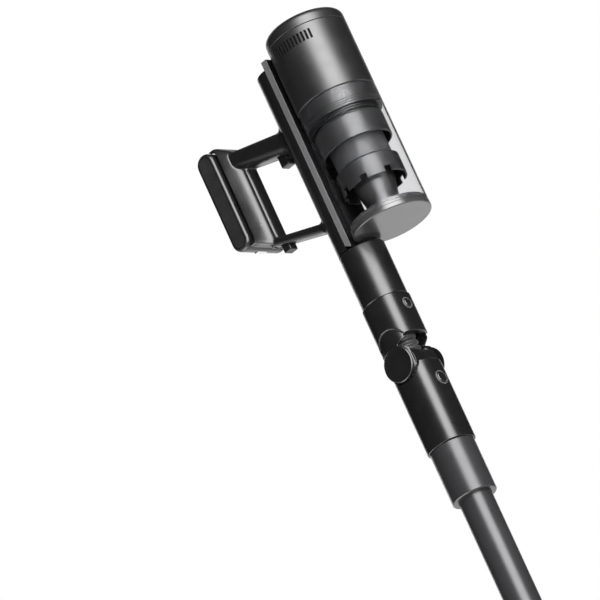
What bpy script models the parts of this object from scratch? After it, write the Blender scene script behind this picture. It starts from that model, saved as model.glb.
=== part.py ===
"""Cordless stick vacuum, modelled as its separate pieces.

Frame: metres, +Z up along the wand, -Y the front, origin at the middle of the battery
pack's flat rear face, which rests against a wall dock. Every piece is placed from the
empty "cup_base", which stands at the centre of the dust cup's underside.
"""
import math

import bmesh
import bpy
from mathutils import Matrix, Vector

MM = 0.001
GAP = 0.3 * MM                    # clearance between pieces that touch

# ---- overall layout, from the centre of the cup's underside ----
BARREL_R = 51 * MM
SPINE_R = 29.3 * MM               # the wand's radius too
WAND_Y = BARREL_R + 7 * MM        # axis of the wand behind the axis of the cup
SPINE_BACK_Y = WAND_Y + SPINE_R
BATTERY_BACK_Y = SPINE_BACK_Y + 116.7 * MM
BATTERY_MID_Z = 144 * MM
FLOOR_Z = -880 * MM

# ---- motor housing and dust cup ----
BARREL_WALL = 2.2 * MM
CUP_WALL = 2.0 * MM
LID_R = BARREL_R + 0.3 * MM
LID_H = 9 * MM
CUP_TOP_Z = 171 * MM
CAP_SEAM_Z = 262 * MM
CAP_TOP_Z = 279 * MM
CAP_ROUND = 9 * MM
VENT_LOW_Z = 241 * MM
VENT_HIGH_Z = 254 * MM
VENT_WIDTH = 2.4 * MM
VENT_COUNT = 13
VENT_FIRST_DEG = 62
VENT_PITCH_DEG = 5.7
HOUSING_LEDGE = 2.5 * MM          # thickness of the inward ledge above the cup
HOUSING_LEDGE_R = 40 * MM
RELEASE_HALF = 9 * MM             # the cup's release button, on the right side
RELEASE_LOW_Z = 177 * MM
RELEASE_HIGH_Z = 190 * MM
RELEASE_DEPTH = 4 * MM
RELEASE_PROUD = 1.3 * MM
BASE_FLOOR = 3 * MM
BASE_BORE = BARREL_R - CUP_WALL - GAP - 2.2 * MM
BASE_SPIGOT = 5 * MM

# ---- motor ----
MOTOR_R = 27 * MM
MOTOR_LOW_Z = 184 * MM
MOTOR_HIGH_Z = 226 * MM
SHAFT_R = 3 * MM
BEARING_R = 18 * MM
IMPELLER_R = 30 * MM
BLADE_COUNT = 7
BLADE_THICK = 1.2 * MM
BLADE_HEIGHT = 5.5 * MM
BLADE_LEAN_DEG = 25
HUB_R = 8 * MM
HUB_ROOF = 3 * MM
RIM_ROOF = 1.5 * MM
BEARING_H = 6 * MM
MAGNET_R = BEARING_R - 2.5 * MM
MAGNET_INSET = 9 * MM             # magnet inside each end of the can
SHAFT_OVER = 3 * MM
SHAFT_UNDER = 9 * MM
MOUNT_LOW_Z = 198 * MM
MOUNT_HIGH_Z = 206 * MM
EXHAUST_BORE = 37 * MM
EXHAUST_LOW_Z = 232 * MM
EXHAUST_HEADROOM = 2 * MM

# ---- cyclone ----
FILTER_FLOOR_Z = 145 * MM
FILTER_OPENING_R = 31 * MM
INNER_WALL = 2 * MM
SEAL_BORE = 42 * MM
SEAL_H = 3 * MM
CYCLONE_R = 44.7 * MM
CYCLONE_LOW_Z = 105 * MM
CYCLONE_SHOULDER_Z = 133 * MM
CYCLONE_ROUND = 5 * MM
SHROUD_R = 35.4 * MM
SHROUD_LOW_Z = 82 * MM
SHROUD_WALL = 1.5 * MM
SKIRT_R = 41 * MM
SKIRT_LOW_Z = 51 * MM
SKIRT_NOTCHES = 8
SKIRT_SLOPE = 4 * MM
NOTCH_WIDTH = 9 * MM
NOTCH_HEIGHT = 7 * MM
CORE_R = 26 * MM
CORE_FOOT_R = 18 * MM
CORE_FOOT_Z = 33 * MM

# ---- spine ----
SPINE_FRONT_Y = WAND_Y - 9 * MM
SPINE_LOW_Z = -3 * MM
FRAME_TOP_Z = 258 * MM
COVER_TOP_Z = 251 * MM
COVER_CHAMFER = 6 * MM
SPINE_WALL = 2.5 * MM
DUCT_R = (SPINE_R - SPINE_WALL) / 2 - GAP
DUCT_WALL = 1.6 * MM
DUCT_TOP_Z = 118 * MM
INLET_LOW_Z = 90 * MM
INLET_HIGH_Z = 112 * MM
INLET_HALF = 10 * MM
BOARD_LOW_Z = 150 * MM
BOARD_HIGH_Z = 236 * MM
BOARD_FRONT = 2.5 * MM            # behind the wand's axis
BOARD_BACK = 4.2 * MM

# ---- handle ----
GRIP_HALF = 19.5 * MM
GRIP_UNDER = (SPINE_BACK_Y - 6.3 * MM, 151 * MM, 0.294)      # y, z and slope of the underside
GRIP_OVER = (SPINE_BACK_Y + 0.7 * MM, 183 * MM, 0.25)
GRIP_END_Y = SPINE_BACK_Y + 80.7 * MM
POST_FRONT_Y = SPINE_BACK_Y + 66.7 * MM
POST_BACK_Y = POST_FRONT_Y + 17 * MM
POST_HALF = 11 * MM
BRACE_HALF = 12 * MM
BRACE_UNDER = (SPINE_BACK_Y + 13.7 * MM, 44.6 * MM, 0.343)
BRACE_OVER = (SPINE_BACK_Y + 13.7 * MM, 58 * MM, 0.3256)
FLARE_START_Y = POST_FRONT_Y + 5 * MM
FLARE_LOW_Z = 64 * MM
FLARE_HIGH_Z = 196 * MM
FLARE_STEPS = 6
HANDLE_FRONT_Y = WAND_Y + 2 * MM  # the handle's bars start inside the spine's space
HANDLE_TOP_Z = 240 * MM
HANDLE_WALL = 2.6 * MM
TRIGGER_FRONT_Y = SPINE_BACK_Y + 8.7 * MM
TRIGGER_LENGTH = 14 * MM
TRIGGER_HALF = 7 * MM
TRIGGER_LOW_Z = 143.5 * MM
TRIGGER_TOP_Z = 166 * MM
SPRING_R = 4 * MM
SPRING_WIRE = 0.7 * MM
SPRING_TURNS = 5
LATCH_FRONT_Y = POST_FRONT_Y - 8 * MM
LATCH_LENGTH = 12 * MM
LATCH_HALF = 7 * MM
LATCH_LOW_Z = 53 * MM
LATCH_HEIGHT = 15 * MM
LATCH_TRAVEL = 3 * MM
TRIGGER_ROOM_Z = 178 * MM

# ---- battery ----
CELL_R = 9.1 * MM
CELL_LENGTH = 65 * MM
CELL_COUNT = 7
CELL_PITCH = 2 * CELL_R + 0.4 * MM
PACK_THICK = 2 * CELL_R + 9.8 * MM
PACK_HEIGHT = CELL_COUNT * CELL_PITCH + 5.8 * MM
PACK_HALF = CELL_LENGTH / 2 + 5.5 * MM
PACK_WALL = 2 * MM
END_CAP = 2.4 * MM
CELL_GAP = 0.15 * MM
CARRIER_HALF = 2 * MM
SOCKET_HALF = 9 * MM
SOCKET_DEPTH = 6.5 * MM
SOCKET_OFFSET = 0.5 * MM          # behind the middle of the pack's thickness

# ---- wand ----
STUB_LOW_Z = -78 * MM
STUB_BORE = 21.5 * MM
STUB_ROUND = 3 * MM
KNEE_HALF = SPINE_R - GAP         # half width of the squarer section at the fold
KNEE_SQUARENESS = 2.5
CHEEK_THICK = 6.9 * MM
CHEEK_INNER = KNEE_HALF - CHEEK_THICK
KNEE_CORNER = KNEE_HALF * (1 - (CHEEK_INNER / KNEE_HALF) ** KNEE_SQUARENESS) ** (1 / KNEE_SQUARENESS)
KNEE_BORE = 20.5 * MM
HOSE_BORE = 17.5 * MM
PIVOT_Z = -164 * MM
FORK_FRONT_Z = PIVOT_Z + KNEE_HALF + 3 * MM
FORK_BACK_Z = PIVOT_Z + 14 * MM
CHEEK_R = KNEE_CORNER + 1.6 * MM  # rounder than the knee's depth beside the cheeks
EAR_R = CHEEK_R - 2.5 * MM
EAR_THICK = 4 * MM
KNEE_FRONT_TOP_Z = PIVOT_Z - 7 * MM
KNEE_LOW_Z = -278 * MM
PIN_R = 6 * MM
HINGE_CAP_R = CHEEK_R - 1.5 * MM
HINGE_CAP_THICK = 2.2 * MM
HOSE_TOP_Z = -118 * MM
HOSE_LOW_Z = -208 * MM
HOSE_FOLDS = 7
WAND_BUTTON_R = 5.75 * MM
WAND_BUTTON_Z = -94 * MM
FOLD_BUTTON_R = 7.5 * MM
FOLD_BUTTON_Z = -198 * MM
BUTTON_PROUD = 1.5 * MM
BUTTON_LENGTH = 5.5 * MM
COLLAR_R = KNEE_HALF - 0.5 * MM
COLLAR_LOW_Z = -348 * MM
TUBE_R = 21.3 * MM
TUBE_WALL = 1.2 * MM
TUBE_TOP_Z = -290 * MM
TUBE_SEAT = 22 * MM               # the tube's foot above the neck's joint

# ---- floor head ----
HEAD_HALF = 125 * MM
HEAD_FRONT_Y = WAND_Y - 103 * MM
HEAD_BACK_Y = WAND_Y + 18 * MM
HEAD_LIFT = 5 * MM                # underside above the floor
HEAD_SPLIT = 34 * MM              # height of the joint between base and cover
HEAD_HEIGHT = 60 * MM
HEAD_WALL = 2.6 * MM
HEAD_CORNER = 14 * MM
COVER_INSET = 1 * MM
COVER_ROUND = 9 * MM
COVER_RIM = 6 * MM                # the cover's side walls are this much thicker
BRUSH_R = 19 * MM
BRUSH_Y = WAND_Y - 76 * MM
BRUSH_HEIGHT = BRUSH_R + 3 * MM
BRUSH_HALF = 109 * MM
BRUSH_GAP = 2.5 * MM
BRUSH_END_GAP = 1 * MM
BRUSH_AXLE = 6 * MM
MOUTH_FRONT = 17 * MM             # the mouth's edges from the brush's axis
MOUTH_BACK = 40 * MM
MOUTH_ROOF = 18 * MM
AXLE_R = 4 * MM
END_PLUG_R = 10 * MM
YOKE_HALF = 29.7 * MM
YOKE_R = 14 * MM
YOKE_HEIGHT = 24 * MM             # tilt axis above the floor
YOKE_PIN_R = 5 * MM
YOKE_PIN = 5 * MM
NECK_R = TUBE_R - 1.3 * MM
NECK_TOP = 90 * MM                # joint between yoke and socket above the floor
NECK_BORE = 14 * MM
NECK_SPIGOT = 20 * MM
THROAT_R = 9 * MM
SOCKET_R = TUBE_R + 3.7 * MM
SOCKET_TOP = 150 * MM
WHEEL_R = 14 * MM
WHEEL_WIDTH = 12 * MM
WHEEL_X = 95 * MM
WHEEL_Y = WAND_Y
WHEEL_AXLE_R = 2.5 * MM
WHEEL_AXLE = 6 * MM               # axle beyond each side of the wheel
WHEEL_SIDE_GAP = 1 * MM
WHEEL_GAP = 2 * MM
BRUSH_MOTOR_R = 11 * MM
BRUSH_MOTOR_Y = WAND_Y - 30 * MM
BRUSH_MOTOR_X = (45 * MM, 100 * MM)

# ---- derived places ----
PACK_FRONT_Y = BATTERY_BACK_Y - PACK_THICK
PACK_MID_Y = BATTERY_BACK_Y - PACK_THICK / 2
PACK_LOW_Z = BATTERY_MID_Z - PACK_HEIGHT / 2
PACK_HIGH_Z = BATTERY_MID_Z + PACK_HEIGHT / 2
BARREL_BORE = BARREL_R - BARREL_WALL
CUP_BORE = BARREL_R - CUP_WALL
CHANNEL_R = LID_R + GAP
FAR = 400 * MM                    # longer than anything a cutter has to pass

# ---- facets round a full turn ----
BARREL_STEPS = 52
WAND_STEPS = 40
ROUND_STEPS = 30
SMALL_STEPS = 20
PIN_STEPS = 14

SATIN_BLACK = ("satin_black", (0.035, 0.035, 0.037), 0.38, 0.0)
HOUSING_GREY = ("housing_charcoal", (0.075, 0.075, 0.078), 0.34, 0.35)
FRAME_GREY = ("frame_grey", (0.16, 0.16, 0.165), 0.4, 0.2)
CLEAR = ("smoky_clear", (0.55, 0.55, 0.56), 0.06, 0.0)
CYCLONE_BLACK = ("cyclone_black", (0.03, 0.03, 0.031), 0.3, 0.0)
MESH_STEEL = ("mesh_steel", (0.3, 0.3, 0.31), 0.35, 0.9)
RUBBER = ("soft_rubber", (0.02, 0.02, 0.02), 0.75, 0.0)
FOAM = ("filter_foam", (0.12, 0.12, 0.13), 0.95, 0.0)
PLEAT = ("filter_paper", (0.75, 0.75, 0.72), 0.9, 0.0)
STEEL = ("bright_steel", (0.6, 0.6, 0.61), 0.25, 1.0)
COPPER = ("motor_copper", (0.45, 0.22, 0.11), 0.4, 0.9)
BOARD = ("board_green", (0.02, 0.12, 0.06), 0.5, 0.0)
CELL_BLUE = ("cell_sleeve", (0.06, 0.18, 0.3), 0.45, 0.0)
TUBE_GREY = ("painted_tube", (0.06, 0.06, 0.063), 0.3, 0.6)
BRUSH_FIBRE = ("brush_fibre", (0.09, 0.09, 0.1), 0.9, 0.0)


# ---------------------------------------------------------------- helpers
def clear_scene():
    for old in list(bpy.data.objects):
        bpy.data.objects.remove(old, do_unlink=True)


def new_collection(name):
    group = bpy.data.collections.new(name)
    bpy.context.scene.collection.children.link(group)
    return group


def material(finish):
    name, colour, roughness, metallic = finish
    found = bpy.data.materials.get(name)
    if found:
        return found
    made = bpy.data.materials.new(name)
    made.use_nodes = True
    shader = made.node_tree.nodes["Principled BSDF"]
    shader.inputs["Base Color"].default_value = (*colour, 1.0)
    shader.inputs["Roughness"].default_value = roughness
    shader.inputs["Metallic"].default_value = metallic
    return made


def add(name, mesh, finish, at=(0, 0, 0)):
    """Put a mesh in the scene as a piece, or as a cutter when it has no finish."""
    piece = bpy.data.objects.new(name, mesh)
    piece.location = at
    piece.parent = CUP_BASE
    if finish is None:
        CUTTERS.objects.link(piece)
        piece.display_type = 'WIRE'
        piece.hide_render = True
    else:
        PARTS.objects.link(piece)
        mesh.materials.append(material(finish))
    return piece


def mesh_of(shape, smooth=True):
    mesh = bpy.data.meshes.new("shape")
    shape.to_mesh(mesh)
    shape.free()
    if smooth:
        mesh.shade_smooth()
        mesh.set_sharp_from_angle(angle=math.radians(35))
    return mesh


def turned(name, finish, profile, at=(0, 0, 0), steps=ROUND_STEPS, along='Z'):
    """Turn a profile of (radius, height) points, listed down its outer side.

    A profile that starts and ends on the axis makes a solid, any other a ring.
    """
    shape = bmesh.new()
    points = [shape.verts.new((radius, 0, height)) for radius, height in profile]
    for first, second in zip(points, points[1:]):
        shape.edges.new((first, second))
    if profile[0][0] > 0:
        shape.edges.new((points[-1], points[0]))
    piece = add(name, mesh_of(shape, False), finish, at)
    screw = piece.modifiers.new("turn", 'SCREW')
    screw.axis = 'Z'
    screw.steps = steps
    screw.render_steps = steps
    screw.use_merge_vertices = True
    screw.merge_threshold = 0.01 * MM
    screw.use_smooth_shade = True
    if along == 'X':
        piece.rotation_euler = (0, math.radians(90), 0)
    if along == 'Y':
        piece.rotation_euler = (math.radians(-90), 0, 0)
    return piece


def ring(name, finish, outer, inner, low, high, at=(0, 0, 0), steps=ROUND_STEPS, along='Z'):
    profile = [(outer, high), (outer, low), (inner, low), (inner, high)]
    return turned(name, finish, profile, at, steps, along)


def disc(name, finish, radius, low, high, at=(0, 0, 0), steps=SMALL_STEPS, along='Z'):
    profile = [(0, high), (radius, high), (radius, low), (0, low)]
    return turned(name, finish, profile, at, steps, along)


def block(name, finish, low, high, bevel=0.0, at=(0, 0, 0), segments=2):
    """A box between two corners, with its edges rounded."""
    low = Vector(low)
    high = Vector(high)
    shape = bmesh.new()
    place = Matrix.Translation((low + high) / 2 - Vector(at))
    size = Matrix.Diagonal((*(high - low), 1))
    bmesh.ops.create_cube(shape, size=1.0, matrix=place @ size)
    piece = add(name, mesh_of(shape, bevel > 0), finish, at)
    if bevel:
        rounding = piece.modifiers.new("round", 'BEVEL')
        rounding.width = bevel
        rounding.segments = segments
        rounding.limit_method = 'ANGLE'
    return piece


def arc(centre, radius, start, end, steps):
    """Points on a circle from one angle to another, in degrees."""
    points = []
    for step in range(steps + 1):
        angle = math.radians(start + (end - start) * step / steps)
        points.append((centre[0] + radius * math.cos(angle), centre[1] + radius * math.sin(angle)))
    return points


def plate(name, finish, outline, low, high, along='Z', at=(0, 0, 0)):
    """Extrude a flat outline. Along X the outline is (y, z), along Z it is (x, y)."""
    curve = bpy.data.curves.new(name, 'CURVE')
    curve.dimensions = '2D'
    curve.fill_mode = 'BOTH'
    curve.extrude = (high - low) / 2
    line = curve.splines.new('POLY')
    line.points.add(len(outline) - 1)
    for point, (first, second) in zip(line.points, outline):
        point.co = (first, second, 0, 1)
    line.use_cyclic_u = True
    flat = bpy.data.objects.new("flat", curve)
    bpy.context.scene.collection.objects.link(flat)
    evaluated = flat.evaluated_get(bpy.context.evaluated_depsgraph_get())
    mesh = bpy.data.meshes.new_from_object(evaluated)
    bpy.data.objects.remove(flat)
    shape = bmesh.new()
    shape.from_mesh(mesh)
    bmesh.ops.remove_doubles(shape, verts=shape.verts, dist=0.001 * MM)
    bmesh.ops.translate(shape, verts=shape.verts, vec=(0, 0, (low + high) / 2))
    if along == 'X':
        turn = Matrix(((0, 0, 1), (1, 0, 0), (0, 1, 0)))
        bmesh.ops.transform(shape, verts=shape.verts, matrix=turn.to_4x4())
    bmesh.ops.translate(shape, verts=shape.verts, vec=-Vector(at))
    bmesh.ops.recalc_face_normals(shape, faces=shape.faces)
    return add(name, mesh_of(shape), finish, at)


def squircle(centre, half, squareness, points):
    """A closed outline between a circle and a square: squareness 2 is the circle."""
    outline = []
    for step in range(points):
        angle = 2 * math.pi * step / points
        across = math.cos(angle)
        along = math.sin(angle)
        outline.append((centre[0] + half[0] * math.copysign(abs(across) ** (2 / squareness), across),
                        centre[1] + half[1] * math.copysign(abs(along) ** (2 / squareness), along)))
    return outline


def loft(name, finish, sections, at=(0, 0, 0)):
    """Skin a row of closed sections, each a list of as many points, and cap both ends."""
    shape = bmesh.new()
    loops = []
    for section in sections:
        corners = [shape.verts.new(Vector(point) - Vector(at)) for point in section]
        loops.append([shape.edges.new((corners[i - 1], corners[i])) for i in range(len(corners))])
    for first, second in zip(loops, loops[1:]):
        bmesh.ops.bridge_loops(shape, edges=first + second)
    bmesh.ops.edgeloop_fill(shape, edges=loops[0])
    bmesh.ops.edgeloop_fill(shape, edges=loops[-1])
    bmesh.ops.recalc_face_normals(shape, faces=shape.faces)
    bmesh.ops.triangulate(shape, faces=shape.faces)
    return add(name, mesh_of(shape), finish, at)


def combine(piece, operation, *tools, solver='EXACT'):
    for tool in tools:
        step = piece.modifiers.new("combine", 'BOOLEAN')
        step.operation = operation
        step.solver = solver
        step.object = tool


def cut(piece, *tools, solver='EXACT'):
    combine(piece, 'DIFFERENCE', *tools, solver=solver)


def join(piece, *tools):
    combine(piece, 'UNION', *tools)


def mirrored(name, finish, piece):
    """The same piece for the other side, across the plane X = 0."""
    bpy.context.view_layer.update()
    evaluated = piece.evaluated_get(bpy.context.evaluated_depsgraph_get())
    shape = bmesh.new()
    shape.from_mesh(bpy.data.meshes.new_from_object(evaluated))
    bmesh.ops.triangulate(shape, faces=shape.faces)
    bmesh.ops.scale(shape, verts=shape.verts, vec=(-1, 1, 1))
    bmesh.ops.reverse_faces(shape, faces=shape.faces)
    return add(name, mesh_of(shape), finish, piece.location)


# ---------------------------------------------------------------- motor housing
def vent_slots():
    """Radial bars that cut the exhaust slots on both sides."""
    shape = bmesh.new()
    middle = (VENT_LOW_Z + VENT_HIGH_Z) / 2
    size = Matrix.Diagonal((VENT_WIDTH, 4 * BARREL_WALL, VENT_HIGH_Z - VENT_LOW_Z, 1))
    for side in (-1, 1):
        for index in range(VENT_COUNT):
            turn = side * math.radians(VENT_FIRST_DEG + VENT_PITCH_DEG * index)
            place = Matrix.Rotation(turn, 4, 'Z') @ Matrix.Translation((0, BARREL_R, middle))
            bmesh.ops.create_cube(shape, size=1.0, matrix=place @ size)
    return add("vent_slots", mesh_of(shape, False), None)


def motor_housing():
    low = CUP_TOP_Z + GAP
    ledge = low + HOUSING_LEDGE
    profile = [(BARREL_R, CAP_SEAM_Z), (BARREL_R, low), (HOUSING_LEDGE_R, low), (HOUSING_LEDGE_R, ledge),
               (BARREL_BORE, ledge), (BARREL_BORE, CAP_SEAM_Z)]
    housing = turned("motor_housing", HOUSING_GREY, profile, steps=BARREL_STEPS)
    latch_hole = block("latch_hole", None, (BARREL_R - 2 * RELEASE_DEPTH, -RELEASE_HALF, RELEASE_LOW_Z),
                       (BARREL_R + 2 * RELEASE_DEPTH, RELEASE_HALF, RELEASE_HIGH_Z))
    cut(housing, vent_slots(), latch_hole)
    block("cup_release_button", SATIN_BLACK,
          (BARREL_R - RELEASE_DEPTH, -RELEASE_HALF + GAP, RELEASE_LOW_Z + GAP),
          (BARREL_R + RELEASE_PROUD, RELEASE_HALF - GAP, RELEASE_HIGH_Z - GAP), 0.8 * MM,
          at=(BARREL_R, 0, (RELEASE_LOW_Z + RELEASE_HIGH_Z) / 2))


def top_cap():
    low = CAP_SEAM_Z + GAP
    outer = arc((BARREL_R - CAP_ROUND, CAP_TOP_Z - CAP_ROUND), CAP_ROUND, 90, 0, 4)
    inner_round = CAP_ROUND - BARREL_WALL
    inner = arc((BARREL_R - CAP_ROUND, CAP_TOP_Z - CAP_ROUND), inner_round, 0, 90, 2)
    profile = [(0, CAP_TOP_Z), *outer, (BARREL_R, low), (BARREL_BORE, low), *inner,
               (0, CAP_TOP_Z - BARREL_WALL)]
    turned("top_cap", HOUSING_GREY, profile, steps=WAND_STEPS)


def exhaust_filter():
    ring("exhaust_filter", PLEAT, BARREL_BORE - GAP, EXHAUST_BORE, EXHAUST_LOW_Z,
         CAP_SEAM_Z - EXHAUST_HEADROOM)


def motor():
    ring("motor_can", STEEL, MOTOR_R, BEARING_R + GAP, MOTOR_LOW_Z, MOTOR_HIGH_Z)
    ring("motor_mount", RUBBER, BARREL_BORE - GAP, MOTOR_R + GAP, MOUNT_LOW_Z, MOUNT_HIGH_Z)
    for name, low in (("lower_bearing", MOTOR_LOW_Z), ("upper_bearing", MOTOR_HIGH_Z - BEARING_H)):
        ring(name, STEEL, BEARING_R, SHAFT_R + GAP, low, low + BEARING_H, steps=SMALL_STEPS)
    top = MOTOR_HIGH_Z + SHAFT_OVER
    foot = MOTOR_LOW_Z - SHAFT_UNDER
    magnet_low = MOTOR_LOW_Z + MAGNET_INSET
    magnet_high = MOTOR_HIGH_Z - MAGNET_INSET
    profile = [(0, top), (SHAFT_R, top), (SHAFT_R, magnet_high), (MAGNET_R, magnet_high),
               (MAGNET_R, magnet_low), (SHAFT_R, magnet_low), (SHAFT_R, foot), (0, foot)]
    turned("motor_rotor", COPPER, profile, steps=SMALL_STEPS)


def impeller():
    low = MOTOR_LOW_Z - SHAFT_UNDER + 0.5 * MM
    hub_top = MOTOR_LOW_Z - 1 * MM
    profile = [(HUB_R, hub_top), (HUB_R, low + HUB_ROOF), (IMPELLER_R, low + RIM_ROOF),
               (IMPELLER_R, low), (SHAFT_R + GAP, low), (SHAFT_R + GAP, hub_top)]
    wheel = turned("impeller", SATIN_BLACK, profile, steps=SMALL_STEPS)
    blades = bmesh.new()
    size = Matrix.Diagonal((IMPELLER_R - HUB_R + 0.5 * MM, BLADE_THICK, BLADE_HEIGHT, 1))
    for index in range(BLADE_COUNT):
        turn = Matrix.Rotation(2 * math.pi * index / BLADE_COUNT, 4, 'Z')
        place = Matrix.Translation(((IMPELLER_R + HUB_R - HUB_ROOF) / 2, 0, low + HUB_ROOF + 1 * MM))
        lean = Matrix.Rotation(math.radians(BLADE_LEAN_DEG), 4, 'Z')
        bmesh.ops.create_cube(blades, size=1.0, matrix=turn @ place @ lean @ size)
    join(wheel, add("blades", mesh_of(blades, False), None))


# ---------------------------------------------------------------- dust cup
def dust_cup():
    cup = ring("dust_cup", CLEAR, BARREL_R, CUP_BORE, LID_H + GAP, CUP_TOP_Z, steps=BARREL_STEPS)
    inlet = block("cup_inlet", None, (-INLET_HALF, 0, INLET_LOW_Z), (INLET_HALF, FAR, INLET_HIGH_Z))
    cut(cup, inlet)
    spigot = LID_H + BASE_SPIGOT
    profile = [(0, BASE_FLOOR), (BASE_BORE, BASE_FLOOR), (BASE_BORE, spigot), (CUP_BORE - GAP, spigot),
               (CUP_BORE - GAP, LID_H), (LID_R, LID_H), (LID_R, 1 * MM), (LID_R - 1 * MM, 0), (0, 0)]
    turned("cup_base", SATIN_BLACK, profile, steps=BARREL_STEPS)


def cyclone():
    top = FILTER_FLOOR_Z - GAP
    wall = INNER_WALL
    shoulder = CYCLONE_R - CYCLONE_ROUND
    outer = arc((shoulder, CYCLONE_SHOULDER_Z), CYCLONE_ROUND, 90, 0, 3)
    inner = arc((shoulder, CYCLONE_SHOULDER_Z), CYCLONE_ROUND - wall, 0, 90, 2)
    profile = [(shoulder, top), *outer, (CYCLONE_R, CYCLONE_LOW_Z), (CYCLONE_R - wall, CYCLONE_LOW_Z),
               *inner, (shoulder - wall, CYCLONE_SHOULDER_Z + CYCLONE_ROUND - wall), (shoulder - wall, top)]
    turned("cyclone_body", CYCLONE_BLACK, profile, steps=ROUND_STEPS)
    ring("mesh_shroud", MESH_STEEL, SHROUD_R, SHROUD_R - SHROUD_WALL, SHROUD_LOW_Z, top)


def skirt():
    top = SHROUD_LOW_Z - GAP
    wall = INNER_WALL
    profile = [(0, top), (SHROUD_R, top), (SKIRT_R, top - SKIRT_SLOPE), (SKIRT_R, SKIRT_LOW_Z),
               (SKIRT_R - wall, SKIRT_LOW_Z), (SKIRT_R - wall, top - SKIRT_SLOPE - wall / 2),
               (SHROUD_R - 1 * MM, top - wall), (0, top - wall)]
    piece = turned("shroud_skirt", CYCLONE_BLACK, profile)
    notches = bmesh.new()
    size = Matrix.Diagonal((NOTCH_WIDTH, 10 * INNER_WALL, 2 * NOTCH_HEIGHT, 1))
    for index in range(SKIRT_NOTCHES):
        turn = Matrix.Rotation(2 * math.pi * (index + 0.5) / SKIRT_NOTCHES, 4, 'Z')
        place = Matrix.Translation((0, SKIRT_R, SKIRT_LOW_Z))
        bmesh.ops.create_cube(notches, size=1.0, matrix=turn @ place @ size)
    cut(piece, add("skirt_notches", mesh_of(notches, False), None))


def core():
    wall = INNER_WALL
    top = SHROUD_LOW_Z - 3 * GAP - wall
    low = BASE_FLOOR + 2 * GAP
    profile = [(0, top), (CORE_R, top - 1 * MM), (CORE_R, SKIRT_LOW_Z), (CORE_FOOT_R, CORE_FOOT_Z),
               (CORE_FOOT_R, low), (CORE_FOOT_R - wall, low), (CORE_FOOT_R - wall, CORE_FOOT_Z),
               (CORE_R - wall, SKIRT_LOW_Z), (CORE_R - wall, top - 2.6 * MM), (0, top - wall)]
    turned("dust_core", CYCLONE_BLACK, profile, steps=SMALL_STEPS)


def filters():
    wall = INNER_WALL
    outer = CUP_BORE - GAP
    top = CUP_TOP_Z - GAP
    profile = [(outer, top), (outer, FILTER_FLOOR_Z), (FILTER_OPENING_R, FILTER_FLOOR_Z),
               (FILTER_OPENING_R, FILTER_FLOOR_Z + wall), (outer - wall, FILTER_FLOOR_Z + wall),
               (outer - wall, top)]
    turned("filter_housing", CYCLONE_BLACK, profile, steps=WAND_STEPS)
    low = FILTER_FLOOR_Z + wall + GAP
    disc("pre_filter", FOAM, outer - wall - GAP, low, top - SEAL_H, steps=WAND_STEPS)
    ring("cup_seal", RUBBER, outer - wall - GAP, SEAL_BORE, top - SEAL_H + GAP, top)


# ---------------------------------------------------------------- spine
def spine():
    frame = block("spine_front_frame", FRAME_GREY, (-SPINE_R, SPINE_FRONT_Y, SPINE_LOW_Z),
                  (SPINE_R, WAND_Y - GAP / 2, FRAME_TOP_Z))
    channel = disc("barrel_channel", None, CHANNEL_R, -FAR, FAR, steps=BARREL_STEPS)
    window = block("frame_inlet", None, (-INLET_HALF, 0, INLET_LOW_Z), (INLET_HALF, FAR, INLET_HIGH_Z))
    cut(frame, channel, window)
    outline = arc((0, WAND_Y), SPINE_R, 0, 180, 24)
    split = WAND_Y + GAP / 2
    outline = [(x, max(y, split)) for x, y in outline]
    cover = plate("spine_rear_cover", SATIN_BLACK, outline, SPINE_LOW_Z, COVER_TOP_Z)
    hollow_line = arc((0, WAND_Y), SPINE_R - SPINE_WALL, -20, 200, 28)
    hollow = plate("spine_hollow", None, hollow_line, -FAR, COVER_TOP_Z - COVER_CHAMFER - SPINE_WALL)
    slope = [(WAND_Y + SPINE_R - COVER_CHAMFER, COVER_TOP_Z + 1 * MM),
             (WAND_Y + SPINE_R + 1 * MM, COVER_TOP_Z - COVER_CHAMFER),
             (FAR, COVER_TOP_Z - COVER_CHAMFER), (FAR, COVER_TOP_Z + 1 * MM)]
    chamfer = plate("cover_chamfer", None, slope, -FAR, FAR, along='X')
    cut(cover, hollow, chamfer)
    half = math.sqrt((SPINE_R - SPINE_WALL) ** 2 - (BOARD_BACK + GAP) ** 2) - GAP
    block("control_board", BOARD, (-half, WAND_Y + BOARD_FRONT, BOARD_LOW_Z),
          (half, WAND_Y + BOARD_BACK, BOARD_HIGH_Z))


def dust_duct():
    middle = WAND_Y + GAP / 2 + GAP + DUCT_R
    bore = DUCT_R - DUCT_WALL
    profile = [(0, DUCT_TOP_Z), (DUCT_R, DUCT_TOP_Z), (DUCT_R, SPINE_LOW_Z), (bore, SPINE_LOW_Z),
               (bore, DUCT_TOP_Z - DUCT_WALL), (0, DUCT_TOP_Z - DUCT_WALL)]
    duct = turned("dust_duct", SATIN_BLACK, profile, at=(0, middle, 0), steps=SMALL_STEPS)
    window = block("duct_window", None, (-INLET_HALF, 0, INLET_LOW_Z), (INLET_HALF, middle, INLET_HIGH_Z))
    cut(duct, window)


# ---------------------------------------------------------------- handle
def line_at(line, y):
    """Height at y of a straight edge given by a point on it and its slope."""
    start, height, slope = line
    return height + slope * (y - start)


def bar_sections(under, over, stations, half, inset):
    """Sections across Y of a bar between two straight edges, as (x, y, z)."""
    sections = []
    for y in stations:
        low = line_at(under, y) + inset
        high = line_at(over, y) - inset
        outline = squircle((0, (low + high) / 2), (half - inset, (high - low) / 2), 3.2, 20)
        sections.append([(x, y, z) for x, z in outline])
    return sections


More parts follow.
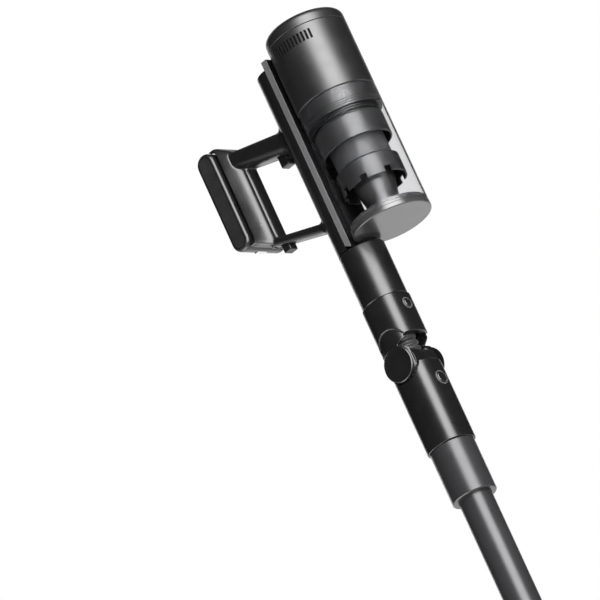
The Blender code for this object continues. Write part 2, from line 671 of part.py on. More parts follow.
def flare_half(y):
    """Half width of the handle where it spreads to the battery."""
    spread = (y - FLARE_START_Y) / (PACK_FRONT_Y - FLARE_START_Y)
    spread = min(max(spread, 0), 1)
    return POST_HALF + (PACK_HALF - POST_HALF) * spread ** 2


def flare_sections(inset):
    sections = []
    for index in range(FLARE_STEPS + 1):
        y = FLARE_START_Y + (PACK_MID_Y - FLARE_START_Y) * index / FLARE_STEPS
        spread = min((y - FLARE_START_Y) / (PACK_FRONT_Y - FLARE_START_Y), 1)
        low = FLARE_LOW_Z + (PACK_LOW_Z - FLARE_LOW_Z) * spread + inset
        high = FLARE_HIGH_Z + (PACK_HIGH_Z - FLARE_HIGH_Z) * spread - inset
        outline = squircle((0, (low + high) / 2), (flare_half(y) - inset, (high - low) / 2), 9, 28)
        sections.append([(x, y, z) for x, z in outline])
    return sections


def handle_form(tag, inset):
    """The handle's outside, or with an inset its hollow, as one cutter."""
    start = WAND_Y + 5 * MM
    grip = loft("grip_" + tag, None,
                bar_sections(GRIP_UNDER, GRIP_OVER, (start, GRIP_END_Y), GRIP_HALF, inset))
    brace_end = POST_BACK_Y - 2 * MM
    brace = loft("brace_" + tag, None,
                 bar_sections(BRACE_UNDER, BRACE_OVER, (start, brace_end), BRACE_HALF, inset))
    half_depth = (POST_BACK_Y - POST_FRONT_Y) / 2 - inset
    post_line = squircle((0, (POST_FRONT_Y + POST_BACK_Y) / 2), (POST_HALF - inset, half_depth), 4, 16)
    low = line_at(BRACE_OVER, POST_FRONT_Y) - 8 * MM
    high = line_at(GRIP_UNDER, POST_FRONT_Y) + 12 * MM
    post = plate("post_" + tag, None, post_line, low, high)
    flare = loft("flare_" + tag, None, flare_sections(inset))
    join(grip, brace, post, flare)
    return grip


def stadium(thick, height, steps=7):
    """The battery's side outline as (y, z), with half-round ends."""
    radius = thick / 2
    reach = height / 2 - radius
    upper = arc((PACK_MID_Y, BATTERY_MID_Z + reach), radius, 0, 180, steps)
    lower = arc((PACK_MID_Y, BATTERY_MID_Z - reach), radius, 180, 360, steps)
    return upper + lower


def handle():
    outside = handle_form("outside", 0)
    hollow = handle_form("hollow", HANDLE_WALL)
    spine_space = disc("spine_space", None, SPINE_R + GAP, -FAR, FAR, at=(0, WAND_Y, 0), steps=WAND_STEPS)
    pack_space = plate("pack_space", None, stadium(PACK_THICK + 2 * GAP, PACK_HEIGHT + 2 * GAP),
                       -FAR, FAR, along='X')
    trigger_space = block("trigger_space", None,
                          (-TRIGGER_HALF - GAP, TRIGGER_FRONT_Y - GAP, line_at(GRIP_UNDER, HANDLE_FRONT_Y)),
                          (TRIGGER_HALF + GAP, TRIGGER_FRONT_Y + TRIGGER_LENGTH + GAP, TRIGGER_ROOM_Z))
    latch_space = block("latch_space", None,
                        (-LATCH_HALF - GAP, LATCH_FRONT_Y - GAP, LATCH_LOW_Z - LATCH_HEIGHT),
                        (LATCH_HALF + GAP, LATCH_FRONT_Y + LATCH_LENGTH + GAP,
                         LATCH_LOW_Z + LATCH_HEIGHT + LATCH_TRAVEL))
    right = block("handle_right", SATIN_BLACK, (GAP / 2, HANDLE_FRONT_Y, 0),
                  (FAR, BATTERY_BACK_Y, HANDLE_TOP_Z))
    combine(right, 'INTERSECT', outside)
    cut(right, hollow, spine_space, pack_space, trigger_space, latch_space)
    mirrored("handle_left", SATIN_BLACK, right)


def trigger():
    block("trigger", SATIN_BLACK, (-TRIGGER_HALF, TRIGGER_FRONT_Y, TRIGGER_LOW_Z),
          (TRIGGER_HALF, TRIGGER_FRONT_Y + TRIGGER_LENGTH, TRIGGER_TOP_Z), 2 * MM,
          at=(0, TRIGGER_FRONT_Y + TRIGGER_LENGTH / 2, TRIGGER_TOP_Z))


def trigger_spring():
    """A coil between the trigger's top and the inside of the grip's roof."""
    middle = TRIGGER_FRONT_Y + TRIGGER_LENGTH / 2
    low = TRIGGER_TOP_Z + GAP + SPRING_WIRE
    high = line_at(GRIP_OVER, middle - SPRING_R) - HANDLE_WALL - GAP - SPRING_WIRE
    curve = bpy.data.curves.new("trigger_spring", 'CURVE')
    curve.dimensions = '3D'
    curve.bevel_depth = SPRING_WIRE
    curve.bevel_resolution = 2
    curve.use_fill_caps = True
    per_turn = 8
    count = SPRING_TURNS * per_turn + 1
    line = curve.splines.new('POLY')
    line.points.add(count - 1)
    for index, point in enumerate(line.points):
        angle = 2 * math.pi * index / per_turn
        height = low + (high - low) * index / (count - 1)
        point.co = (SPRING_R * math.cos(angle), middle + SPRING_R * math.sin(angle), height, 1)
    coil = bpy.data.objects.new("trigger_spring", curve)
    coil.parent = CUP_BASE
    PARTS.objects.link(coil)
    curve.materials.append(material(STEEL))


def battery_latch():
    block("battery_latch", SATIN_BLACK, (-LATCH_HALF, LATCH_FRONT_Y, LATCH_LOW_Z),
          (LATCH_HALF, LATCH_FRONT_Y + LATCH_LENGTH, LATCH_LOW_Z + LATCH_HEIGHT), 1.5 * MM,
          at=(0, LATCH_FRONT_Y + LATCH_LENGTH / 2, LATCH_LOW_Z))


# ---------------------------------------------------------------- battery
def battery():
    shell_half = PACK_HALF - END_CAP - GAP
    case = plate("battery_case", SATIN_BLACK, stadium(PACK_THICK, PACK_HEIGHT),
                 -shell_half, shell_half, along='X')
    inside = plate("battery_inside", None, stadium(PACK_THICK - 2 * PACK_WALL, PACK_HEIGHT - 2 * PACK_WALL),
                   -FAR, FAR, along='X')
    socket_front = PACK_MID_Y + SOCKET_OFFSET
    socket_back = socket_front + SOCKET_DEPTH
    socket_space = block("socket_space", None, (-SOCKET_HALF, socket_front, PACK_LOW_Z - 2 * PACK_WALL),
                         (SOCKET_HALF, socket_back, PACK_LOW_Z + 2 * PACK_WALL))
    cut(case, inside, socket_space)
    block("charging_socket", STEEL, (GAP - SOCKET_HALF, socket_front + GAP, PACK_LOW_Z + GAP),
          (SOCKET_HALF - GAP, socket_back - GAP, PACK_LOW_Z + PACK_WALL))
    for name, start in (("battery_cap_left", -PACK_HALF), ("battery_cap_right", PACK_HALF - END_CAP)):
        plate(name, SATIN_BLACK, stadium(PACK_THICK, PACK_HEIGHT), start, start + END_CAP, along='X')
    slim = PACK_WALL + GAP
    carrier = plate("cell_carrier", SATIN_BLACK, stadium(PACK_THICK - 2 * slim, PACK_HEIGHT - 2 * slim),
                    -CARRIER_HALF, CARRIER_HALF, along='X')
    holes = []
    for index in range(CELL_COUNT):
        height = BATTERY_MID_Z + (index - (CELL_COUNT - 1) / 2) * CELL_PITCH
        place = (0, PACK_MID_Y, height)
        disc(f"battery_cell_{index + 1}", CELL_BLUE, CELL_R, -CELL_LENGTH / 2, CELL_LENGTH / 2,
             at=place, steps=PIN_STEPS, along='X')
        holes.append(disc(f"cell_hole_{index + 1}", None, CELL_R + CELL_GAP, -FAR, FAR,
                          at=place, steps=PIN_STEPS, along='X'))
    cut(carrier, *holes)


# ---------------------------------------------------------------- wand
def stub():
    top = SPINE_LOW_Z - GAP
    profile = [(SPINE_R - STUB_ROUND, top), (SPINE_R, top - STUB_ROUND), (SPINE_R, STUB_LOW_Z),
               (STUB_BORE, STUB_LOW_Z), (STUB_BORE, top)]
    turned("inlet_stub", SATIN_BLACK, profile, at=(0, WAND_Y, 0), steps=WAND_STEPS)


def fork_outline():
    """Side outline (y, z) of the fork: cheeks round the pivot, and open in front for the fold.

    The knee's front corners beside the cheeks rise past the pivot when it folds, so the
    cheeks stay round until they are higher than those corners can reach.
    """
    front = WAND_Y - 2 * KNEE_HALF
    back = WAND_Y + 2 * KNEE_HALF
    start = 180 - math.degrees(math.asin((KNEE_CORNER + 2 * GAP) / CHEEK_R))
    outline = [(front, FORK_FRONT_Z), (WAND_Y - KNEE_HALF - 0.5 * MM, FORK_FRONT_Z)]
    outline += arc((WAND_Y, PIVOT_Z), CHEEK_R, start, 360, 16)
    outline += [(WAND_Y + CHEEK_R, FORK_BACK_Z), (back, FORK_BACK_Z), (back, FAR), (front, FAR)]
    return outline


def fork():
    section = squircle((0, WAND_Y), (KNEE_HALF, KNEE_HALF), KNEE_SQUARENESS, 40)
    piece = plate("fold_fork", SATIN_BLACK, section, PIVOT_Z - CHEEK_R - 2 * MM, STUB_LOW_Z - GAP)
    keep = plate("fork_side", None, fork_outline(), -FAR, FAR, along='X')
    combine(piece, 'INTERSECT', keep)
    bore = disc("fork_bore", None, KNEE_BORE, -FAR, FAR, at=(0, WAND_Y, 0), steps=SMALL_STEPS)
    slot = block("fork_slot", None, (-CHEEK_INNER, WAND_Y - 2 * KNEE_HALF, PIVOT_Z - 2 * KNEE_HALF),
                 (CHEEK_INNER, WAND_Y + EAR_R + 2 * GAP, FORK_FRONT_Z + GAP))
    pin_hole = disc("fork_pin_hole", None, PIN_R + GAP, -FAR, FAR, at=(0, WAND_Y, PIVOT_Z),
                    steps=PIN_STEPS, along='X')
    button_hole = disc("wand_button_hole", None, WAND_BUTTON_R + GAP, -2 * KNEE_HALF, 0,
                       at=(0, WAND_Y, WAND_BUTTON_Z), steps=SMALL_STEPS, along='Y')
    cut(piece, bore, slot, pin_hole, button_hole)


def knee():
    """Lower half of the fold: two ears between the fork's cheeks, and the body below."""
    section = squircle((0, WAND_Y), (KNEE_HALF, KNEE_HALF), KNEE_SQUARENESS, 40)
    pivot = (0, WAND_Y, PIVOT_Z)
    piece = plate("fold_knee", SATIN_BLACK, section, KNEE_LOW_Z - PIVOT_Z, FORK_BACK_Z - GAP - PIVOT_Z,
                  at=(0, WAND_Y, 0))
    piece.location = pivot
    ear_outer = CHEEK_INNER - GAP
    front_space = block("knee_front_space", None,
                        (-FAR, WAND_Y - 2 * KNEE_HALF, KNEE_FRONT_TOP_Z), (FAR, WAND_Y, 0))
    cheek_space = plate("cheek_space", None, arc((WAND_Y, PIVOT_Z), CHEEK_R + 2 * GAP, 180, 360, 12)
                        + [(WAND_Y + CHEEK_R + 2 * GAP, 0), (WAND_Y - CHEEK_R - 2 * GAP, 0)],
                        -FAR, FAR, along='X')
    ears = disc("knee_ears", None, EAR_R, -ear_outer, ear_outer, at=pivot, steps=SMALL_STEPS, along='X')
    root = block("knee_root", None, (-ear_outer, WAND_Y - EAR_R + 2 * MM, PIVOT_Z - CHEEK_R - 6 * MM),
                 (ear_outer, WAND_Y + EAR_R - 2 * MM, PIVOT_Z))
    bore = disc("knee_bore", None, HOSE_BORE, -FAR, FAR, at=(0, WAND_Y, 0), steps=SMALL_STEPS)
    pin_hole = disc("knee_pin_hole", None, PIN_R + GAP, -FAR, FAR, at=pivot, steps=PIN_STEPS, along='X')
    button_hole = disc("fold_button_hole", None, FOLD_BUTTON_R + GAP, -2 * KNEE_HALF, 0,
                       at=(0, WAND_Y, FOLD_BUTTON_Z), steps=SMALL_STEPS, along='Y')
    cut(piece, front_space, cheek_space)
    join(piece, ears, root)
    cut(piece, bore, pin_hole, button_hole)


def hinge_caps():
    """Turned caps over the fold, each with its own pin through the cheek and the ear."""
    face = KNEE_HALF + GAP + HINGE_CAP_THICK
    pin_end = CHEEK_INNER - GAP - EAR_THICK + 0.5 * MM
    profile = [(0, face), (HINGE_CAP_R - 1 * MM, face), (HINGE_CAP_R, face - 1 * MM),
               (HINGE_CAP_R, KNEE_HALF + GAP), (PIN_R, KNEE_HALF + GAP), (PIN_R, pin_end), (0, pin_end)]
    pivot = (0, WAND_Y, PIVOT_Z)
    turned("hinge_cap_right", SATIN_BLACK, profile, at=pivot, steps=SMALL_STEPS, along='X')
    left = turned("hinge_cap_left", SATIN_BLACK, profile, at=pivot, steps=SMALL_STEPS)
    left.rotation_euler = (0, math.radians(-90), 0)


def hose():
    """Ribbed hose through the fold, with a cuff in each half."""
    root = HOSE_BORE - 3.2 * MM
    crest = HOSE_BORE - 1 * MM
    wall = 1 * MM
    cuff = 8 * MM
    folds_top = HOSE_TOP_Z - cuff
    folds_low = HOSE_LOW_Z + cuff
    pitch = (folds_top - folds_low) / HOSE_FOLDS
    outer = [(KNEE_BORE - GAP, HOSE_TOP_Z), (KNEE_BORE - GAP, folds_top), (root, folds_top)]
    inner = [(root - wall, HOSE_TOP_Z), (root - wall, folds_top)]
    for index in range(HOSE_FOLDS):
        middle = folds_top - pitch * (index + 0.5)
        outer += [(crest, middle), (root, middle - 0.5 * pitch)]
        inner += [(crest - wall, middle), (root - wall, middle - 0.5 * pitch)]
    outer += [(HOSE_BORE - GAP, folds_low), (HOSE_BORE - GAP, HOSE_LOW_Z)]
    inner += [(root - wall, HOSE_LOW_Z)]
    turned("fold_hose", RUBBER, outer + inner[::-1], at=(0, WAND_Y, 0), steps=SMALL_STEPS)


def front_button(name, radius, height):
    """A round button in the front of the wand, pressed towards the back."""
    front = KNEE_HALF + BUTTON_PROUD
    back = front - BUTTON_LENGTH
    edge = 0.8 * MM
    profile = [(0, -back), (radius, -back), (radius, edge - front), (radius - edge, -front), (0, -front)]
    turned(name, SATIN_BLACK, profile, at=(0, WAND_Y, height), steps=SMALL_STEPS, along='Y')


def lower_wand():
    collar_top = KNEE_LOW_Z - GAP
    profile = [(COLLAR_R, collar_top), (COLLAR_R, COLLAR_LOW_Z + 1 * MM), (COLLAR_R - 1 * MM, COLLAR_LOW_Z),
               (TUBE_R + GAP, COLLAR_LOW_Z), (TUBE_R + GAP, collar_top)]
    turned("lower_collar", SATIN_BLACK, profile, at=(0, WAND_Y, 0), steps=WAND_STEPS)
    low = FLOOR_Z + NECK_TOP + TUBE_SEAT
    ring("lower_tube", TUBE_GREY, TUBE_R, TUBE_R - TUBE_WALL, low, TUBE_TOP_Z, at=(0, WAND_Y, 0))


# ---------------------------------------------------------------- floor head
def neck():
    split = FLOOR_Z + NECK_TOP
    spigot = split + NECK_SPIGOT
    profile = [(SOCKET_R, FLOOR_Z + SOCKET_TOP), (SOCKET_R, split + GAP), (TUBE_R + GAP, split + GAP),
               (TUBE_R + GAP, FLOOR_Z + SOCKET_TOP)]
    turned("neck_socket", SATIN_BLACK, profile, at=(0, WAND_Y, 0))
    axis = (0, WAND_Y, FLOOR_Z + YOKE_HEIGHT)
    yoke = disc("neck_yoke", SATIN_BLACK, YOKE_R, -YOKE_HALF, YOKE_HALF, at=axis,
                steps=SMALL_STEPS, along='X')
    pins = disc("yoke_pins", None, YOKE_PIN_R, -YOKE_HALF - YOKE_PIN, YOKE_HALF + YOKE_PIN, at=axis,
                steps=PIN_STEPS, along='X')
    foot = FLOOR_Z + YOKE_HEIGHT
    column = turned("yoke_column", None, [(0, spigot), (TUBE_R, spigot), (TUBE_R, split),
                                          (NECK_R, split), (NECK_R, foot), (0, foot)],
                    at=(0, WAND_Y, 0), steps=SMALL_STEPS)
    bore = disc("yoke_bore", None, NECK_BORE, FLOOR_Z + YOKE_HEIGHT + YOKE_R, FLOOR_Z + FAR,
                at=(0, WAND_Y, 0))
    throat = disc("yoke_throat", None, THROAT_R, -FAR, 0, at=axis, steps=PIN_STEPS, along='Y')
    throat_up = disc("yoke_throat_up", None, THROAT_R, 0, FAR, at=axis, steps=PIN_STEPS)
    join(yoke, pins, column)
    cut(yoke, bore, throat, throat_up)


def head_outline(inset):
    """Plan outline of the floor head, with round front corners."""
    half = HEAD_HALF - inset
    front = HEAD_FRONT_Y + inset
    back = HEAD_BACK_Y - inset
    across = half - HEAD_CORNER
    outline = arc((across, front + HEAD_CORNER), HEAD_CORNER, -90, 0, 4)
    outline += arc((across, back - HEAD_CORNER), HEAD_CORNER, 0, 90, 4)
    outline += arc((-across, back - HEAD_CORNER), HEAD_CORNER, 90, 180, 4)
    outline += arc((-across, front + HEAD_CORNER), HEAD_CORNER, 180, 270, 4)
    return outline


def wheel(base, name, side):
    """A rear wheel on its own axle, with its space and axle holes in the base."""
    centre = (side * WHEEL_X, WHEEL_Y, FLOOR_Z + WHEEL_R)
    half = WHEEL_WIDTH / 2
    reach = half + WHEEL_AXLE
    space = block(name + "_space", None,
                  (centre[0] - half - WHEEL_SIDE_GAP, WHEEL_Y - WHEEL_R - WHEEL_GAP, FLOOR_Z - 1 * MM),
                  (centre[0] + half + WHEEL_SIDE_GAP, FAR, FLOOR_Z + 2 * WHEEL_R + WHEEL_GAP))
    hole = disc(name + "_hole", None, WHEEL_AXLE_R + GAP, -reach - 1 * MM, reach + 1 * MM,
                at=centre, steps=PIN_STEPS, along='X')
    cut(base, space, hole, solver='MANIFOLD')
    profile = [(0, reach), (WHEEL_AXLE_R, reach), (WHEEL_AXLE_R, half), (WHEEL_R - 1 * MM, half),
               (WHEEL_R, half - 1 * MM), (WHEEL_R, 1 * MM - half), (WHEEL_R - 1 * MM, -half),
               (WHEEL_AXLE_R, -half), (WHEEL_AXLE_R, -reach), (0, -reach)]
    turned(name, RUBBER, profile, at=centre, steps=SMALL_STEPS, along='X')


def head():
    low = FLOOR_Z + HEAD_LIFT
    split = FLOOR_Z + HEAD_SPLIT
    top = FLOOR_Z + HEAD_HEIGHT
    brush_at = (0, BRUSH_Y, FLOOR_Z + BRUSH_HEIGHT)
    base = plate("head_base", SATIN_BLACK, head_outline(0), low, split)
    chamber = disc("brush_chamber", None, BRUSH_R + BRUSH_GAP, -BRUSH_HALF - BRUSH_END_GAP,
                   BRUSH_HALF + BRUSH_END_GAP, at=brush_at, steps=ROUND_STEPS, along='X')
    mouth = block("brush_mouth", None, (-BRUSH_HALF, BRUSH_Y - MOUTH_FRONT, FLOOR_Z - 1 * MM),
                  (BRUSH_HALF, BRUSH_Y + MOUTH_BACK, FLOOR_Z + MOUTH_ROOF))
    axle_hole = disc("brush_axle_hole", None, AXLE_R + GAP,
                     -BRUSH_HALF - BRUSH_AXLE - 2 * BRUSH_END_GAP, -BRUSH_HALF / 2, at=brush_at,
                     steps=PIN_STEPS, along='X')
    plug_hole = disc("end_plug_hole", None, END_PLUG_R + GAP, BRUSH_HALF / 2, FAR, at=brush_at,
                     steps=SMALL_STEPS, along='X')
    yoke_at = (0, WAND_Y, FLOOR_Z + YOKE_HEIGHT)
    notch = block("neck_notch", None, (-YOKE_HALF - GAP, WAND_Y - NECK_R - 2 * MM, FLOOR_Z - 1 * MM),
                  (YOKE_HALF + GAP, FAR, FLOOR_Z + 2 * HEAD_HEIGHT))
    pin_hole = disc("yoke_pin_hole", None, YOKE_PIN_R + GAP, -YOKE_HALF - YOKE_PIN - 1 * MM,
                    YOKE_HALF + YOKE_PIN + 1 * MM, at=yoke_at, steps=PIN_STEPS, along='X')
    throat_low = FLOOR_Z + MOUTH_ROOF - 6 * MM
    throat_end = block("throat_end", None, (-THROAT_R, BRUSH_Y + MOUTH_BACK / 2, throat_low),
                       (THROAT_R, WAND_Y, FLOOR_Z + YOKE_HEIGHT))
    # Many cutters meet here, and the MANIFOLD solver keeps the mesh closed.
    cut(base, chamber, mouth, axle_hole, plug_hole, notch, pin_hole, throat_end, solver='MANIFOLD')
    for name, side in (("wheel_left", -1), ("wheel_right", 1)):
        wheel(base, name, side)
    cover = plate("head_cover", SATIN_BLACK, head_outline(COVER_INSET), split + GAP, top)
    soften = cover.modifiers.new("round", 'BEVEL')
    soften.width = COVER_ROUND
    soften.segments = 3
    soften.limit_method = 'ANGLE'
    soften.angle_limit = math.radians(60)
    inside = plate("cover_inside", None, head_outline(COVER_INSET + HEAD_WALL + COVER_RIM), low,
                   top - HEAD_WALL)
    under = block("cover_under", None, (-FAR, HEAD_FRONT_Y - FAR, FLOOR_Z - FAR), (FAR, FAR, split + GAP))
    cut(cover, inside, notch, chamber, under)


def brush():
    brush_at = (0, BRUSH_Y, FLOOR_Z + BRUSH_HEIGHT)
    plug_inner = BRUSH_HALF + BRUSH_END_GAP + GAP
    right_end = plug_inner + BRUSH_AXLE
    left_end = -BRUSH_HALF - BRUSH_END_GAP - BRUSH_AXLE
    profile = [(0, right_end), (AXLE_R, right_end), (AXLE_R, BRUSH_HALF), (BRUSH_R, BRUSH_HALF),
               (BRUSH_R, -BRUSH_HALF), (AXLE_R, -BRUSH_HALF), (AXLE_R, left_end), (0, left_end)]
    turned("brush_roller", BRUSH_FIBRE, profile, at=brush_at, steps=SMALL_STEPS, along='X')
    end = HEAD_HALF + 1.5 * MM
    plug = [(0, end), (END_PLUG_R, end), (END_PLUG_R, plug_inner), (AXLE_R + GAP, plug_inner),
            (AXLE_R + GAP, right_end + 1 * MM), (0, right_end + 1 * MM)]
    turned("brush_end_plug", SATIN_BLACK, plug, at=brush_at, steps=SMALL_STEPS, along='X')
    motor_z = FLOOR_Z + HEAD_SPLIT + GAP + BRUSH_MOTOR_R
    disc("brush_motor", STEEL, BRUSH_MOTOR_R, *BRUSH_MOTOR_X, at=(0, BRUSH_MOTOR_Y, motor_z),
         steps=SMALL_STEPS, along='X')


clear_scene()
PARTS = new_collection("cordless_stick_vacuum")
CUTTERS = new_collection("cutters")
CUP_BASE = bpy.data.objects.new("cup_base_origin", None)
CUP_BASE.location = (0, -BATTERY_BACK_Y, -BATTERY_MID_Z)
PARTS.objects.link(CUP_BASE)

motor_housing()
top_cap()
exhaust_filter()
motor()
impeller()
dust_cup()
cyclone()
skirt()
core()
filters()
spine()
dust_duct()
handle()
trigger()
trigger_spring()
battery_latch()
battery()
stub()
fork()
knee()
hinge_caps()
hose()
front_button("wand_button", WAND_BUTTON_R, WAND_BUTTON_Z)
front_button("fold_button", FOLD_BUTTON_R, FOLD_BUTTON_Z)
lower_wand()
neck()
head()
brush()
bpy.context.view_layer.update()
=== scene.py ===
"""Looks of a cordless stick vacuum: shells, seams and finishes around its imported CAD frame.

Shapes are drawn in millimetres in the cup's frame, whose origin is on the barrel's axis at the
underside of the dust cup's lid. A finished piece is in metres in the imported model's frame.
"""

import logging
import math
from dataclasses import dataclass, field
from enum import Enum

import bmesh
import bpy
from mathutils import Matrix, Vector


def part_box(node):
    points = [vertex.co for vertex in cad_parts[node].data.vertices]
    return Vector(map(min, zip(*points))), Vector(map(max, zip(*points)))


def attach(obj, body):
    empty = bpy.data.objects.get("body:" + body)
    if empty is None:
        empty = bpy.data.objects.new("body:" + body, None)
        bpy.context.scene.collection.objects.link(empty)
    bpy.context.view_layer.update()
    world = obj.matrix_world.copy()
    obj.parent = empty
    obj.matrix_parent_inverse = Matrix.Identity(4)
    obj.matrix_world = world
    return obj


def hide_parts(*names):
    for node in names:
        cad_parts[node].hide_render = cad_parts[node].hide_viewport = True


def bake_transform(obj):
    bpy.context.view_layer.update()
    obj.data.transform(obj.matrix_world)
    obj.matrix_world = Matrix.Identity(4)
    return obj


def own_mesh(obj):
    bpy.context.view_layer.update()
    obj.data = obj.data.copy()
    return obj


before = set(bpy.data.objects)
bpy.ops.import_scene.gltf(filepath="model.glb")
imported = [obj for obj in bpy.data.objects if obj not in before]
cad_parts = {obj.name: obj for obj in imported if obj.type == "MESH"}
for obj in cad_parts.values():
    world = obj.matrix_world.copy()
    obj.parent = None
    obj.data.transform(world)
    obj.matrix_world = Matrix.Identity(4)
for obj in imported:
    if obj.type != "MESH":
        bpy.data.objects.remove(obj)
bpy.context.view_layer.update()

log = logging.getLogger("stick_vacuum")

MM = 0.001
GAP = 0.3  # clearance between neighbours, in millimetres
LID_LOW, LID_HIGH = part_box("cup_base")
CUP_ORIGIN = Vector((0, (LID_LOW[1] + LID_HIGH[1]) / 2, LID_LOW[2]))
TO_FRAME = Matrix.Translation(CUP_ORIGIN) @ Matrix.Scale(MM, 4)
FAR = 400.0  # past everything that a cutter has to reach

Point = tuple[float, float, float]
Flat = tuple[float, float]
Tree = bpy.types.NodeTree
Node = bpy.types.Node
Socket = bpy.types.NodeSocket


class Axis(Enum):
    """The direction a shape is turned about or drawn out along."""

    X = "X"
    Y = "Y"
    Z = "Z"

    def turn(self) -> Matrix:
        """The rotation that carries Z to this axis."""
        rows = {
            Axis.X: ((0, 0, 1), (1, 0, 0), (0, 1, 0)),
            Axis.Y: ((1, 0, 0), (0, 0, 1), (0, -1, 0)),
            Axis.Z: ((1, 0, 0), (0, 1, 0), (0, 0, 1)),
        }
        return Matrix(rows[self]).to_4x4()


class Side(Enum):
    """The user's left and right sides of the cleaner."""

    LEFT = -1
    RIGHT = 1

    @property
    def word(self) -> str:
        """The side's name in lower case."""
        return self.name.lower()


# ------------------------------------------------------------------ finishes
def add_node(tree: Tree, kind: str, values: dict | None = None, **settings: object) -> Node:
    """Add a shader node.

    Args:
        tree: The node tree that gets it.
        kind: Its type.
        values: A value for each input that needs one.
        settings: The node's own options, which are set before the values.
    Returns:
        The node.
    """
    made = tree.nodes.new(kind)
    for name, value in settings.items():
        setattr(made, name, value)
    set_inputs(made, values or {})
    return made


def set_inputs(node: Node, values: dict) -> None:
    """Set a node's inputs.

    Args:
        node: The node.
        values: The value of each input, by its name or its number.
    """
    for socket, value in values.items():
        node.inputs[socket].default_value = value


def linked(name: str, data: bpy.types.ID) -> bpy.types.Object:
    """Put a new object with this data in the scene.

    Args:
        name: The object's name.
        data: Its mesh, lamp or camera.
    Returns:
        The object.
    """
    made = bpy.data.objects.new(name, data)
    bpy.context.scene.collection.objects.link(made)
    return made


@dataclass(frozen=True)
class Finish:
    """A moulded, painted or metal surface with grain, cloudy gloss and fine bump.

    Colours are linear, and sizes are in metres.
    """

    name: str
    colour: tuple[float, float, float]
    variation: float = 0.18
    roughness: Flat = (0.34, 0.44)
    metallic: float = 0.0
    ior: float = 1.5
    coat: float = 0.0
    coat_roughness: float = 0.12
    sheen: float = 0.0
    grain_size: float = 0.0009
    grain_depth: float = 0.00003
    cloud_size: float = 0.045

    def build(self) -> bpy.types.Material:
        """Make this finish's material, or find it if it is there already.

        Returns:
            The material.
        """
        known = bpy.data.materials.get("look_" + self.name)
        if known:
            return known
        material = bpy.data.materials.new("look_" + self.name)
        material.use_nodes = True
        tree = material.node_tree
        shader = tree.nodes["Principled BSDF"]
        set_inputs(shader, {"Metallic": self.metallic, "IOR": self.ior, "Coat Weight": self.coat,
                            "Coat Roughness": self.coat_roughness, "Sheen Weight": self.sheen})
        where = add_node(tree, "ShaderNodeTexCoord").outputs["Object"]
        self.tint(tree, shader, where)
        self.gloss(tree, shader, where)
        self.relief(tree, shader, where)
        return material

    def noise(self, tree: Tree, where: Socket, size: float, detail: float = 3.0) -> Socket:
        """A cloudy pattern.

        Args:
            tree: The material's node tree.
            where: The coordinates it lies on.
            size: The width of a blotch in metres.
            detail: How much finer pattern is laid over it.
        Returns:
            The socket with its value, from 0 to 1.
        """
        node = add_node(tree, "ShaderNodeTexNoise", {"Scale": 1 / size, "Detail": detail})
        tree.links.new(where, node.inputs["Vector"])
        return node.outputs["Fac"]

    def tint(self, tree: Tree, shader: Node, where: Socket) -> None:
        """Vary the colour a little between a darker and a lighter shade.

        Args:
            tree: The material's node tree.
            shader: The node that gets the colour.
            where: The coordinates the shades lie on.
        """
        dark = (*(c * (1 - self.variation) for c in self.colour), 1)
        light = (*(c * (1 + self.variation) for c in self.colour), 1)
        blend = add_node(tree, "ShaderNodeMix", {"A": dark, "B": light}, data_type="RGBA")
        tree.links.new(self.noise(tree, where, self.cloud_size), blend.inputs["Factor"])
        tree.links.new(blend.outputs["Result"], shader.inputs["Base Color"])

    def gloss(self, tree: Tree, shader: Node, where: Socket) -> None:
        """Let the roughness drift as handled plastic does.

        Args:
            tree: The material's node tree.
            shader: The node that gets the roughness.
            where: The coordinates the drift lies on.
        """
        low, high = self.roughness
        spread = add_node(tree, "ShaderNodeMapRange",
                          {"From Min": 0.3, "From Max": 0.7, "To Min": low, "To Max": high})
        tree.links.new(self.noise(tree, where, self.cloud_size * 0.4, 5.0), spread.inputs["Value"])
        tree.links.new(spread.outputs["Result"], shader.inputs["Roughness"])

    def height(self, tree: Tree, where: Socket) -> Socket:
        """The fine relief's height, from 0 to 1."""
        return self.noise(tree, where, self.grain_size, 2.0)

    def relief(self, tree: Tree, shader: Node, where: Socket) -> None:
        """Raise the surface's grain as bump.

        Args:
            tree: The material's node tree.
            shader: The node that gets the bump.
            where: The coordinates the grain lies on.
        """
        bump = add_node(tree, "ShaderNodeBump", {"Strength": 0.6, "Distance": self.grain_depth})
        tree.links.new(self.height(tree, where), bump.inputs["Height"])
        tree.links.new(bump.outputs["Normal"], shader.inputs["Normal"])


